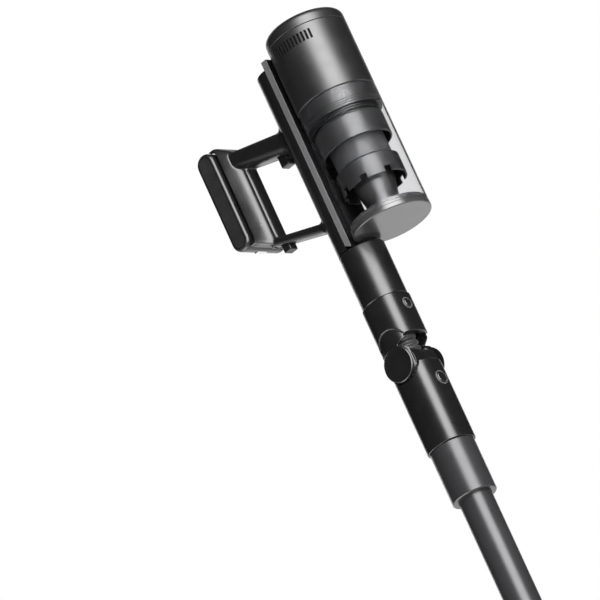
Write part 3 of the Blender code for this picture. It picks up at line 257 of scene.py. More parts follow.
@dataclass(frozen=True)
class Perforated(Finish):
    """Thin metal with rows of fine holes, painted nearly black as shade where the holes are."""

    hole_pitch: float = 0.0016
    # painted shade: the near-black colour that stands in for the dark seen through each hole
    hole_shade_colour: tuple[float, float, float] = (0.004, 0.004, 0.004)

    def height(self, tree: Tree, where: Socket) -> Socket:
        """Round holes on a fine grid.

        Args:
            tree: The material's node tree.
            where: The coordinates the holes lie on.
        Returns:
            The socket with the height, 0 in a hole and 1 on the metal.
        """
        cells = add_node(tree, "ShaderNodeTexVoronoi",
                         {"Scale": 1 / self.hole_pitch, "Randomness": 0.15})
        tree.links.new(where, cells.inputs["Vector"])
        edge = add_node(tree, "ShaderNodeMapRange", {"From Min": 0.25, "From Max": 0.42})
        tree.links.new(cells.outputs["Distance"], edge.inputs["Value"])
        return edge.outputs["Result"]

    def tint(self, tree: Tree, shader: Node, where: Socket) -> None:
        """Colour the metal, and paint the holes nearly black as the shade seen through them.

        Args:
            tree: The material's node tree.
            shader: The node that gets the colour.
            where: The coordinates the holes lie on.
        """
        blend = add_node(tree, "ShaderNodeMix",
                         {"A": (*self.hole_shade_colour, 1), "B": (*self.colour, 1)}, data_type="RGBA")
        tree.links.new(self.height(tree, where), blend.inputs["Factor"])
        tree.links.new(blend.outputs["Result"], shader.inputs["Base Color"])


@dataclass(frozen=True)
class Striped(Finish):
    """A surface with parallel ridges, such as pleats, brushed lines or bristles."""

    pitch: float = 0.002
    direction: str = "Z"

    def height(self, tree: Tree, where: Socket) -> Socket:
        """Waves along the stripe's direction.

        Args:
            tree: The material's node tree.
            where: The coordinates the waves lie on.
        Returns:
            The socket with the height, from 0 to 1.
        """
        wave = add_node(tree, "ShaderNodeTexWave",
                        {"Scale": 0.31 / self.pitch, "Distortion": 0.6, "Detail": 2.0},
                        bands_direction=self.direction)
        tree.links.new(where, wave.inputs["Vector"])
        return wave.outputs["Fac"]


@dataclass(frozen=True)
class ClearPlastic(Finish):
    """Smoky see-through plastic that lets lamps light what is inside."""

    tint_colour: tuple[float, float, float] = (0.86, 0.86, 0.87)

    def build(self) -> bpy.types.Material:
        """Make the clear material, with a plain way through for a lamp's light.

        Returns:
            The material.
        """
        known = bpy.data.materials.get("look_" + self.name)
        if known:
            return known
        material = super().build()
        tree = material.node_tree
        shader = tree.nodes["Principled BSDF"]
        set_inputs(shader, {"Transmission Weight": 1.0})
        passing = add_node(tree, "ShaderNodeBsdfTransparent", {"Color": (*self.tint_colour, 1)})
        path = add_node(tree, "ShaderNodeLightPath")
        choose = add_node(tree, "ShaderNodeMixShader")
        tree.links.new(path.outputs["Is Shadow Ray"], choose.inputs["Fac"])
        tree.links.new(shader.outputs["BSDF"], choose.inputs[1])
        tree.links.new(passing.outputs["BSDF"], choose.inputs[2])
        tree.links.new(choose.outputs["Shader"], tree.nodes["Material Output"].inputs["Surface"])
        return material


SATIN_BLACK = Finish("satin_black", (0.0035, 0.0035, 0.0036), roughness=(0.27, 0.34))
GRAINED_BLACK = Finish("grained_black", (0.004, 0.004, 0.0041), roughness=(0.46, 0.56),
                       grain_size=0.0016, grain_depth=0.00016)
GLOSS_BLACK = Finish("gloss_black", (0.02, 0.02, 0.0205), roughness=(0.2, 0.26), ior=1.62)
CHARCOAL = Finish("housing_charcoal", (0.004, 0.004, 0.0041), roughness=(0.36, 0.42), ior=1.6,
                  grain_size=0.0007, grain_depth=0.00002)
RAIL_GREY = Striped("frame_grey", (0.06, 0.06, 0.0615), roughness=(0.4, 0.5), pitch=0.0021,
                    direction="X", grain_depth=0.00008)
CLEAR = ClearPlastic("smoky_clear", (0.84, 0.84, 0.85), roughness=(0.01, 0.02),
                     variation=0.01, ior=1.06, grain_size=0.02, grain_depth=0.000008)
CYCLONE_BLACK = Finish("cyclone_black", (0.004, 0.004, 0.0041), roughness=(0.34, 0.4), ior=1.6)
MESH_STEEL = Perforated("mesh_steel", (0.03, 0.03, 0.031), roughness=(0.34, 0.42), metallic=0.35,
                        grain_depth=0.00012)
SOFT_RUBBER = Finish("soft_rubber", (0.006, 0.006, 0.006), roughness=(0.5, 0.65),
                     grain_size=0.0006, grain_depth=0.00004, sheen=0.05)
FOAM = Finish("filter_foam", (0.1, 0.1, 0.11), roughness=(0.9, 1.0), grain_size=0.0011,
              grain_depth=0.0006, variation=0.4, cloud_size=0.003)
PAPER = Striped("filter_paper", (0.7, 0.7, 0.67), roughness=(0.85, 0.95), pitch=0.003,
                grain_depth=0.0006, variation=0.06)
BRIGHT_STEEL = Striped("bright_steel", (0.55, 0.55, 0.56), roughness=(0.22, 0.32), metallic=1.0,
                       pitch=0.0008, grain_depth=0.00001)
# painted shade: near-black and dull, for the sleeve seen through the vent slots
VENT_SHADOW = Finish("vent_shadow", (0.002, 0.002, 0.002), roughness=(0.8, 0.9), ior=1.2)
RING_GREY = Finish("ring_grey", (0.05, 0.05, 0.051), roughness=(0.25, 0.32))
COPPER = Striped("motor_copper", (0.5, 0.22, 0.1), roughness=(0.3, 0.4), metallic=1.0,
                 pitch=0.0009, grain_depth=0.0002)
BOARD = Finish("board_green", (0.015, 0.09, 0.045), roughness=(0.35, 0.5), grain_size=0.003,
               grain_depth=0.0001, variation=0.4, cloud_size=0.006)
CELL_SLEEVE = Finish("cell_sleeve", (0.05, 0.16, 0.28), roughness=(0.25, 0.32), coat=0.4)
TUBE_PAINT = Finish("painted_tube", (0.02, 0.02, 0.021), roughness=(0.27, 0.33), metallic=0.3,
                    grain_size=0.0004, grain_depth=0.00001)
FIBRE = Striped("brush_fibre", (0.06, 0.06, 0.065), roughness=(0.8, 0.95), pitch=0.0012,
                direction="X", grain_depth=0.0005, sheen=0.3)


# ------------------------------------------------------------------ shapes
def arc(centre: Flat, radius: float, start: float, end: float, steps: int) -> list[Flat]:
    """Points along an arc.

    Args:
        centre: Its centre.
        radius: Its radius.
        start: The angle of the first point, in degrees from the first axis.
        end: The angle of the last point.
        steps: How many parts it has.
    Returns:
        One point more than it has parts.
    """
    points = []
    for step in range(steps + 1):
        angle = math.radians(start + (end - start) * step / steps)
        points.append((centre[0] + radius * math.cos(angle), centre[1] + radius * math.sin(angle)))
    return points


def squircle(centre: Flat, half: Flat, squareness: float, points: int) -> list[Flat]:
    """A closed outline between an ellipse and a rectangle.

    Args:
        centre: Its centre.
        half: Half its width and half its height.
        squareness: 2 for an ellipse, and more for squarer corners.
        points: How many points it has.
    Returns:
        The points in order.
    """
    power = 2 / squareness
    outline = []
    for step in range(points):
        angle = 2 * math.pi * step / points
        across, along = math.cos(angle), math.sin(angle)
        outline.append((centre[0] + half[0] * math.copysign(abs(across) ** power, across),
                        centre[1] + half[1] * math.copysign(abs(along) ** power, along)))
    return outline


class Shape:
    """A mesh in the making, in millimetres in the cup's frame."""

    def __init__(self) -> None:
        """Start with nothing in it."""
        self.mesh = bmesh.new()

    @classmethod
    def turned(cls, profile: list[Flat], centre: Point = (0, 0, 0), axis: Axis = Axis.Z,
               steps: int = 128) -> "Shape":
        """Turn a closed profile about an axis.

        Args:
            profile: Corners as (radius, height): a closed section, or one that starts and
                ends on the axis.
            centre: A point on the axis, where height is 0.
            axis: The direction of the axis.
            steps: Faces round the full turn.
        Returns:
            The closed shape.
        """
        shape = cls()
        mesh = shape.mesh
        corners = [mesh.verts.new((radius, 0, height)) for radius, height in profile]
        closed = profile[0][0] > 1e-6 or profile[-1][0] > 1e-6
        pairs = list(zip(corners, corners[1:])) + ([(corners[-1], corners[0])] if closed else [])
        edges = [mesh.edges.new(pair) for pair in pairs]
        bmesh.ops.spin(mesh, geom=corners + edges, cent=(0, 0, 0), axis=(0, 0, 1),
                       angle=2 * math.pi, steps=steps, use_merge=True)
        bmesh.ops.remove_doubles(mesh, verts=mesh.verts, dist=1e-4)
        bmesh.ops.recalc_face_normals(mesh, faces=mesh.faces)
        return shape.moved(Matrix.Translation(centre) @ axis.turn())

    @classmethod
    def plate(cls, outline: list[Flat], low: float, high: float, axis: Axis = Axis.Z) -> "Shape":
        """Draw a closed outline out along an axis.

        Args:
            outline: Its points.
            low: Where it starts on the axis.
            high: Where it ends.
            axis: The axis.
        Returns:
            The closed shape.
        """
        shape = cls()
        mesh = shape.mesh
        face = mesh.faces.new([mesh.verts.new((u, v, low)) for u, v in outline])
        top = bmesh.ops.extrude_face_region(mesh, geom=[face])["geom"]
        raised = [item for item in top if isinstance(item, bmesh.types.BMVert)]
        bmesh.ops.translate(mesh, verts=raised, vec=(0, 0, high - low))
        bmesh.ops.recalc_face_normals(mesh, faces=mesh.faces)
        return shape.moved(axis.turn())

    @classmethod
    def lofted(cls, sections: list[list[Point]]) -> "Shape":
        """Skin a row of closed sections, and close its ends.

        Args:
            sections: The sections, each with as many points as the others.
        Returns:
            The closed shape.
        """
        shape = cls()
        mesh = shape.mesh
        loops = []
        for section in sections:
            corners = [mesh.verts.new(point) for point in section]
            loops.append([mesh.edges.new((corners[i - 1], corners[i]))
                          for i in range(len(corners))])
        for first, second in zip(loops, loops[1:]):
            bmesh.ops.bridge_loops(mesh, edges=first + second)
        bmesh.ops.edgeloop_fill(mesh, edges=loops[0])
        bmesh.ops.edgeloop_fill(mesh, edges=loops[-1])
        bmesh.ops.recalc_face_normals(mesh, faces=mesh.faces)
        return shape

    @classmethod
    def cylinder(cls, radius: float, low: float, high: float, centre: Point,
                 axis: Axis = Axis.Z, steps: int = 96) -> "Shape":
        """A round bar.

        Args:
            radius: Its radius.
            low: Where it starts on the axis.
            high: Where it ends.
            centre: The point where the axis starts to be measured.
            axis: The direction of the axis.
            steps: Faces round it.
        Returns:
            The closed shape.
        """
        profile = [(0, low), (radius, low), (radius, high), (0, high)]
        return cls.turned(profile, centre, axis, steps)

    @classmethod
    def boxes(cls, size: Point, places: list[Matrix]) -> "Shape":
        """Boxes of one size, side by side in one mesh.

        Args:
            size: Their width, depth and height.
            places: The place of each.
        Returns:
            The shape with all of them.
        """
        shape = cls()
        for place in places:
            bmesh.ops.create_cube(shape.mesh, size=1.0, matrix=place @ Matrix.Diagonal((*size, 1)))
        return shape

    @classmethod
    def block(cls, low: Point, high: Point) -> "Shape":
        """A box between two corners."""
        middle = (Vector(high) + Vector(low)) / 2
        return cls.boxes(Vector(high) - Vector(low), [Matrix.Translation(middle)])

    @classmethod
    def copied(cls, node: str) -> "Shape":
        """A CAD node's own solid, its loose triangles merged.

        Args:
            node: The node's name.
        Returns:
            The shape, in the cup's frame.
        """
        shape = cls()
        shape.mesh.from_mesh(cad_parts[node].data)
        shape.moved(TO_FRAME.inverted())
        bmesh.ops.remove_doubles(shape.mesh, verts=shape.mesh.verts, dist=0.001)
        bmesh.ops.dissolve_limit(shape.mesh, angle_limit=math.radians(0.5),
                                 use_dissolve_boundaries=False, verts=shape.mesh.verts,
                                 edges=shape.mesh.edges)
        return shape

    def moved(self, place: Matrix) -> "Shape":
        """Carry the shape by a matrix, its faces still pointing out.

        Args:
            place: The matrix, which may mirror.
        Returns:
            This shape.
        """
        bmesh.ops.transform(self.mesh, matrix=place, verts=self.mesh.verts)
        if place.determinant() < 0:
            bmesh.ops.reverse_faces(self.mesh, faces=self.mesh.faces)
        return self

    def copy(self) -> "Shape":
        """A second shape like this one.

        Returns:
            The second shape.
        """
        shape = Shape()
        shape.mesh.free()
        shape.mesh = self.mesh.copy()
        return shape

    def added(self, other: "Shape") -> "Shape":
        """Put another shape's mesh beside this one, without joining them.

        Args:
            other: The other shape.
        Returns:
            This shape.
        """
        carried = bpy.data.meshes.new("carried")
        other.mesh.to_mesh(carried)
        self.mesh.from_mesh(carried)
        bpy.data.meshes.remove(carried)
        return self

    def bevelled(self, width: float, segments: int = 3, angle: float = 35) -> "Shape":
        """Round every sharp edge.

        Args:
            width: How far the rounding reaches.
            segments: Faces across it.
            angle: Edges over this many degrees are sharp.
        Returns:
            This shape.
        """
        limit = math.radians(angle)
        return self.rounded([edge for edge in self.mesh.edges
                             if edge.is_manifold and edge.calc_face_angle(0) > limit],
                            width, segments)

    def rounded_end(self, sign: int, reach: float, width: float) -> "Shape":
        """Round only the rim of one end face.

        Args:
            sign: The side of the face, -1 or 1.
            reach: How far out on X it stands.
            width: How far the rounding reaches.
        Returns:
            This shape.
        """
        return self.rounded([edge for edge in self.mesh.edges
                             if all(abs(vert.co.x - sign * reach) < 0.01 for vert in edge.verts)],
                            width, 8)

    def rounded(self, edges: list[bmesh.types.BMEdge], width: float, segments: int) -> "Shape":
        """Round some edges.

        Args:
            edges: The edges.
            width: How far the rounding reaches.
            segments: Faces across it.
        Returns:
            This shape.
        """
        bmesh.ops.bevel(self.mesh, geom=edges, offset=width, offset_type="OFFSET", affect="EDGES",
                        segments=segments, profile=0.5, material=-1, clamp_overlap=True)
        return self

    def as_object(self) -> bpy.types.Object:
        """A temporary object with this mesh.

        Returns:
            The object, in the scene.
        """
        data = bpy.data.meshes.new("work")
        self.mesh.to_mesh(data)
        return linked("work", data)

    def through(self, work: bpy.types.Object, tools: list[bpy.types.Object]) -> "Shape":
        """Take the mesh back from a temporary object, its modifiers applied.

        Args:
            work: The temporary object.
            tools: Other temporary objects that its modifiers read.
        Returns:
            This shape.
        """
        bpy.context.view_layer.update()
        ready = work.evaluated_get(bpy.context.evaluated_depsgraph_get())
        result = bpy.data.meshes.new_from_object(ready)
        self.mesh.clear()
        self.mesh.from_mesh(result)
        used = [result] + [item.data for item in (work, *tools)]
        for item in (work, *tools):
            bpy.data.objects.remove(item)
        for data in used:
            bpy.data.meshes.remove(data)
        return self

    def combined(self, operation: str, others: tuple["Shape", ...]) -> "Shape":
        """Join, cut or meet this shape with others, one after another.

        Args:
            operation: UNION, DIFFERENCE or INTERSECT.
            others: The other shapes.
        Returns:
            This shape.
        """
        work = self.as_object()
        tools = [other.as_object() for other in others]
        for tool in tools:
            step = work.modifiers.new("combine", "BOOLEAN")
            step.operation = operation
            step.solver = "EXACT"
            step.object = tool
        return self.through(work, tools)

    def cut(self, *others: "Shape") -> "Shape":
        """Take other shapes out of this one."""
        return self.combined("DIFFERENCE", others)

    def joined(self, *others: "Shape") -> "Shape":
        """Make one body of this shape and others."""
        return self.combined("UNION", others)

    def met(self, *others: "Shape") -> "Shape":
        """Keep only what this shape and the others share."""
        return self.combined("INTERSECT", others)

    def softened(self, voxel: float, passes: int) -> "Shape":
        """Lay even small faces over the shape, and smooth its edges.

        Args:
            voxel: The faces' size.
            passes: How often the surface is smoothed.
        Returns:
            This shape.
        """
        work = self.as_object()
        even = work.modifiers.new("even", "REMESH")
        even.mode = "VOXEL"
        even.voxel_size = voxel
        soft = work.modifiers.new("soft", "SMOOTH")
        soft.factor = 0.5
        soft.iterations = passes
        return self.through(work, [])

    def trimmed(self, point: Point, outward: Point) -> "Shape":
        """Cut away what lies past a plane, and close the cut.

        Args:
            point: A point on the plane.
            outward: The direction that is cut away.
        Returns:
            This shape.
        """
        geometry = self.mesh.verts[:] + self.mesh.edges[:] + self.mesh.faces[:]
        cut = bmesh.ops.bisect_plane(self.mesh, geom=geometry, plane_co=point, plane_no=outward,
                                     clear_outer=True)["geom_cut"]
        rim = [item for item in cut if isinstance(item, bmesh.types.BMEdge)]
        bmesh.ops.triangle_fill(self.mesh, edges=rim, use_beauty=True, use_dissolve=False)
        bmesh.ops.recalc_face_normals(self.mesh, faces=self.mesh.faces)
        return self

    def piece(self, name: str, finish: Finish, body: str | None, slot: str,
              replaces: tuple[str, ...] = (), sharp: float = 40) -> bpy.types.Object:
        """Finish the shape as a piece that rides on a body.

        Args:
            name: The piece's name.
            finish: Its surface.
            body: The CAD body it moves with, or None for a piece on no body.
            slot: The record's material slot.
            replaces: The CAD nodes it stands for.
            sharp: Edges over this many degrees stay crisp.
        Returns:
            The piece.
        """
        self.moved(TO_FRAME)
        data = bpy.data.meshes.new(name)
        self.mesh.to_mesh(data)
        self.mesh.free()
        data.polygons.foreach_set("use_smooth", [True] * len(data.polygons))
        data.set_sharp_from_angle(angle=math.radians(sharp))
        data.materials.append(finish.build())
        made = linked(name, data)
        even = made.modifiers.new("even_normals", "WEIGHTED_NORMAL")
        even.keep_sharp = True
        if body:
            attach(made, body)
        if replaces:
            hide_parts(*replaces)
        log.info("%s: %d faces", name, len(data.polygons))
        return made


# ------------------------------------------------------------------ barrel
@dataclass
class Barrel:
    """Motor housing with its vents, the cap over it and the cup's release button."""

    radius: float = 51.0
    wall: float = 2.2
    low: float = 171.3
    seam: float = 262.0
    top: float = 279.0
    cap_round: float = 9.0
    vent_low: float = 241.0
    vent_high: float = 254.0
    vent_width: float = 2.9
    vent_count: int = 13
    vent_first: float = 62.0
    vent_pitch: float = 5.7
    button_half: float = 8.7
    button_low: float = 177.3
    button_high: float = 189.7
    mouth: float = 40.0
    ledge: float = 2.5
    # sleeve depth and height pairs: a near-black sheet that paints shade in the vent slots
    sleeve: tuple[Flat, Flat] = ((0.26, 235.0), (0.06, 259.0))

    def build(self) -> None:
        """Build and dress the housing, cap, button and painted-shade sleeve behind the vents."""
        self.housing()
        self.cap()
        self.button()
        self.painted_vent_shade()

    def slot_bars(self) -> Shape:
        """Bars that cut the exhaust slots on both sides.

        Returns:
            All the bars.
        """
        out = Matrix.Translation((0, self.radius, (self.vent_low + self.vent_high) / 2))
        turns = [side.value * math.radians(self.vent_first + self.vent_pitch * index)
                 for side in Side for index in range(self.vent_count)]
        return Shape.boxes((self.vent_width, 4 * self.wall, self.vent_high - self.vent_low),
                           [Matrix.Rotation(turn, 4, "Z") @ out for turn in turns])

    def housing(self) -> None:
        """Turn the housing's wall and cut its slots and button hole."""
        inner = self.radius - self.wall
        soft = 0.7
        profile = [(self.radius - 0.5, self.seam), (self.radius, self.seam - 0.5),
                   (self.radius, self.vent_high + 2), (self.radius, self.vent_low - 2),
                   (self.radius, self.low + soft), (self.radius - soft, self.low),
                   (self.mouth, self.low), (self.mouth, self.low + self.ledge),
                   (inner, self.low + self.ledge), (inner, self.seam)]
        wall = Shape.turned(profile, steps=192)
        hole = Shape.block((self.radius - 8, -self.button_half - GAP, self.button_low - GAP),
                           (self.radius + 8, self.button_half + GAP, self.button_high + GAP))
        wall.cut(self.slot_bars(), hole)
        wall.piece("housing_shell", CHARCOAL, "main", "housing_charcoal", ("motor_housing",))

    def cap(self) -> None:
        """Turn the cap with its round shoulder and a shallow dished top."""
        low = self.seam + GAP
        inner = self.radius - self.wall
        centre = (self.radius - self.cap_round, self.top - self.cap_round)
        dish = [(0, 0.7), (30, 0.5), (34.4, 0.4), (35, 0.9), (35.6, 0.9), (36.2, 0.2), (38, 0)]
        profile = [*((radius, self.top - depth) for radius, depth in dish),
                   *arc(centre, self.cap_round, 90, 0, 14), (self.radius, low + 0.5),
                   (self.radius - 0.5, low), (inner, low),
                   *arc(centre, self.cap_round - self.wall, 0, 90, 8),
                   (0, self.top - self.wall - 0.5)]
        Shape.turned(profile, steps=192).piece("cap_shell", CHARCOAL, "main", "housing_charcoal",
                                               ("top_cap",))

    def button(self) -> None:
        """Make the release button with a ribbed face."""
        front = self.radius + 1.2
        body = Shape.block((self.radius - 4, -self.button_half, self.button_low),
                           (front, self.button_half, self.button_high))
        ribs = Shape()
        for index in range(5):
            height = self.button_low + 2.6 + 1.8 * index
            ribs.added(Shape.block((front - 0.5, 2.2 - self.button_half, height - 0.3),
                                   (front + 2, self.button_half - 2.2, height + 0.3)))
        body.bevelled(0.8).cut(ribs)
        body.piece("release_button", SATIN_BLACK, "cup_button", "satin_black",
                   ("cup_release_button",))

    def painted_vent_shade(self) -> None:
        """A thin near-black sleeve round the exhaust filter, painting shade into the vent slots."""
        (deep, low), (near, high) = self.sleeve
        inner = self.radius - self.wall
        profile = [(inner - deep, low), (inner - near, low), (inner - near, high),
                   (inner - deep, high)]
        Shape.turned(profile).piece("vent_shade_sleeve", VENT_SHADOW, "main", "soft_rubber")


# ------------------------------------------------------------------ dust cup
@dataclass
class DustCup:
    """The clear cup, its lid, and the cyclone, shroud and filter housing inside it."""

    radius: float = 51.0
    wall: float = 2.0
    top: float = 171.0
    lid_radius: float = 51.3
    lid_height: float = 9.0
    inlet_half: float = 10.0
    inlet: Flat = (90.0, 112.0)
    floor: float = 145.0
    cyclone_radius: float = 44.7
    shroud_radius: float = 35.4
    skirt_radius: float = 41.0
    notches: int = 8
    notch: Point = (9.0, 20.0, 14.0)
    inner_top: float = 144.7
    skirt_top: float = 81.7
    skirt_low: float = 51.0
    lid_bore: float = 46.5

    def build(self) -> None:
        """Build and dress every part of the cup."""
        self.cup()
        self.lid()
        self.filter_housing()
        self.cyclone()
        self.shroud()
        self.skirt()
        self.core()

    def cup(self) -> None:
        """Turn the clear wall, soft at its top and foot, and open its inlet."""
        inner = self.radius - self.wall
        profile = [(inner, self.top - 0.5), (inner + 0.5, self.top), (self.radius - 0.6, self.top),
                   (self.radius, self.top - 0.6), (self.radius, 9.9), (self.radius - 0.6, 9.3),
                   (inner + 0.5, 9.3), (inner, 9.8)]
        wall = Shape.turned(profile, steps=192)
        low, high = self.inlet
        wall.cut(Shape.block((-self.inlet_half, 0, low), (self.inlet_half, FAR, high)))
        wall.piece("clear_cup", CLEAR, "cup", "smoky_clear", ("dust_cup",))

    def lid(self) -> None:
        """Turn the lid with a rounded rim, a fine groove and a flat underside."""
        spigot = self.lid_height + 5
        edge = self.lid_radius
        bore = self.radius - self.wall - GAP
        profile = [(0, 3.0), (self.lid_bore, 3.0), (self.lid_bore, spigot), (bore, spigot),
                   (bore, self.lid_height), (edge - 0.5, self.lid_height),
                   (edge, self.lid_height - 0.5), (edge, 6.2), (edge - 0.5, 5.9),
                   (edge - 0.5, 5.4), (edge, 5.1), *arc((edge - 1.6, 1.6), 1.6, 0, -90, 6), (0, 0)]
        Shape.turned(profile, steps=192).piece("cup_lid", GLOSS_BLACK, "cup", "satin_black",
                                               ("cup_base",))

    def filter_housing(self) -> None:
        """Turn the filter housing, with fine rings round its foot."""
        outer = self.radius - self.wall - GAP
        rings = []
        for height in (153.0, 150.0, 147.0):
            rings += [(outer, height + 0.9), (outer - 0.8, height + 0.5),
                      (outer - 0.8, height - 0.1), (outer, height - 0.5)]
        top = self.top - GAP
        profile = [(outer - 2, top), (outer, top), *rings, (outer, self.floor), (31, self.floor),
                   (31, self.floor + 2), (outer - 2, self.floor + 2)]
        Shape.turned(profile).piece("filter_band", CYCLONE_BLACK, "cup", "cyclone_black",
                                    ("filter_housing",))

    def cyclone(self) -> None:
        """Turn the cyclone's body with two thin fins above its round shoulder."""
        radius = self.cyclone_radius
        centre = (radius - 5, 133.0)
        fins = []
        for height in (143.4, 140.4):
            fins += [(centre[0], height + 0.7), (radius - 0.4, height + 0.7),
                     (radius - 0.4, height - 0.4), (centre[0], height - 0.4)]
        profile = [(centre[0], self.inner_top), *fins, *arc(centre, 5, 90, 0, 8), (radius, 105.6),
                   (radius - 0.6, 105), (radius - 2, 105), *arc(centre, 3, 0, 90, 6),
                   (centre[0] - 2, 136.0), (centre[0] - 2, self.inner_top)]
        Shape.turned(profile).piece("cyclone_shell", CYCLONE_BLACK, "cup", "cyclone_black",
                                    ("cyclone_body",))

    def shroud(self) -> None:
        """Turn the perforated shroud."""
        outer = self.shroud_radius
        profile = [(outer, self.inner_top), (outer, 84), (outer - 0.4, 82), (outer - 1.5, 82),
                   (outer - 1.5, self.inner_top)]
        Shape.turned(profile).piece("shroud_mesh", MESH_STEEL, "cup", "mesh_steel",
                                    ("mesh_shroud",))

    def skirt(self) -> None:
        """Turn the skirt below the shroud and notch its lower edge."""
        top, low, outer = self.skirt_top, self.skirt_low, self.skirt_radius
        slope = top - 4
        profile = [(0, top), (self.shroud_radius, top), (outer - 0.6, slope + 0.5), (outer, slope),
                   (outer, low), (outer - 2, low), (outer - 2, slope - 1),
                   (self.shroud_radius - 1, top - 2), (0, top - 2)]
        out = Matrix.Translation((0, outer, low))
        turns = [2 * math.pi * (index + 0.5) / self.notches for index in range(self.notches)]
        bars = Shape.boxes(self.notch, [Matrix.Rotation(turn, 4, "Z") @ out for turn in turns])
        Shape.turned(profile).cut(bars).piece("shroud_foot", CYCLONE_BLACK, "cup",
                                              "cyclone_black", ("shroud_skirt",))

    def core(self) -> None:
        """Turn the funnel that carries fine dust to the lid."""
        profile = [(0, 79.1), (25.2, 78.6), (26, 77.6), (26, 52), (25.4, 50), (21.9, 34),
                   (21.5, 32.5), (21.5, 4.2), (20.9, 3.6), (19.5, 3.6), (19.5, 33), (24, 51),
                   (24, 76), (0, 77.1)]
        Shape.turned(profile).piece("fine_dust_core", CYCLONE_BLACK, "cup", "cyclone_black",
                                    ("dust_core",))


# ------------------------------------------------------------------ spine
@dataclass
class Spine:
    """The light frame that holds the barrel, and its rear cover."""

    radius: float = 29.3
    axis_y: float = 58.0
    front: float = 49.0
    low: float = -3.0
    frame_top: float = 262.0
    cover_top: float = 251.0
    channel: float = 51.6
    wall: float = 2.5

    def build(self) -> None:
        """Build and dress the frame and the cover."""
        self.front_frame()
        self.rear_cover()

    def front_frame(self) -> None:
        """Draw the frame's section up the barrel, open its dust inlet and colour its sides."""
        half = self.radius
        reach = math.sqrt(self.channel ** 2 - self.front ** 2)
        angle = math.degrees(math.atan2(self.front, reach))
        outline = [(-half, self.axis_y - GAP / 2), (-half, self.front)]
        outline += arc((0, 0), self.channel, 180 - angle, angle, 24)
        outline += [(half, self.front), (half, self.axis_y - GAP / 2)]
        body = Shape.plate(outline, self.low, self.frame_top).bevelled(0.7)
        body.cut(Shape.block((-10, 0, 90), (10, FAR, 112)))
        body.cut(self.toe())
        made = body.piece("frame_body", SATIN_BLACK, "main", "frame_grey", ("spine_front_frame",))
        made.data.materials.append(RAIL_GREY.build())
        for face in made.data.polygons:
            face.material_index = int(abs(face.normal.x) > 0.7 and abs(face.center.x) > 0.028)

    def toe(self) -> Shape:
        """A slanting cutter that leaves the frame's foot pointed at its front corners."""
        slope = [(self.front - 1, self.low - 1), (self.axis_y, self.low - 1),
                 (self.axis_y, self.low + 5)]
        return Shape.plate(slope, -FAR, FAR, Axis.X)

    def rear_cover(self) -> None:
        """Draw the round cover up the frame's back and slope its top."""
        split = self.axis_y + GAP / 2
        outline = [(x, max(y, split)) for x, y in arc((0, self.axis_y), self.radius, 0, 180, 64)]
        cover = Shape.plate(outline, self.low, self.cover_top)
        hollow = Shape.plate(arc((0, self.axis_y), self.radius - self.wall, -20, 200, 64), -FAR,
                             self.cover_top - 8.5)
        slope = [(self.axis_y + self.radius - 6, self.cover_top + 1),
                 (self.axis_y + self.radius + 1, self.cover_top - 6), (FAR, self.cover_top - 6),
                 (FAR, self.cover_top + 1)]
        cover.cut(hollow, Shape.plate(slope, -FAR, FAR, Axis.X)).bevelled(0.6, 2, 30)
        cover.piece("cover_shell", SATIN_BLACK, "main", "satin_black", ("spine_rear_cover",))


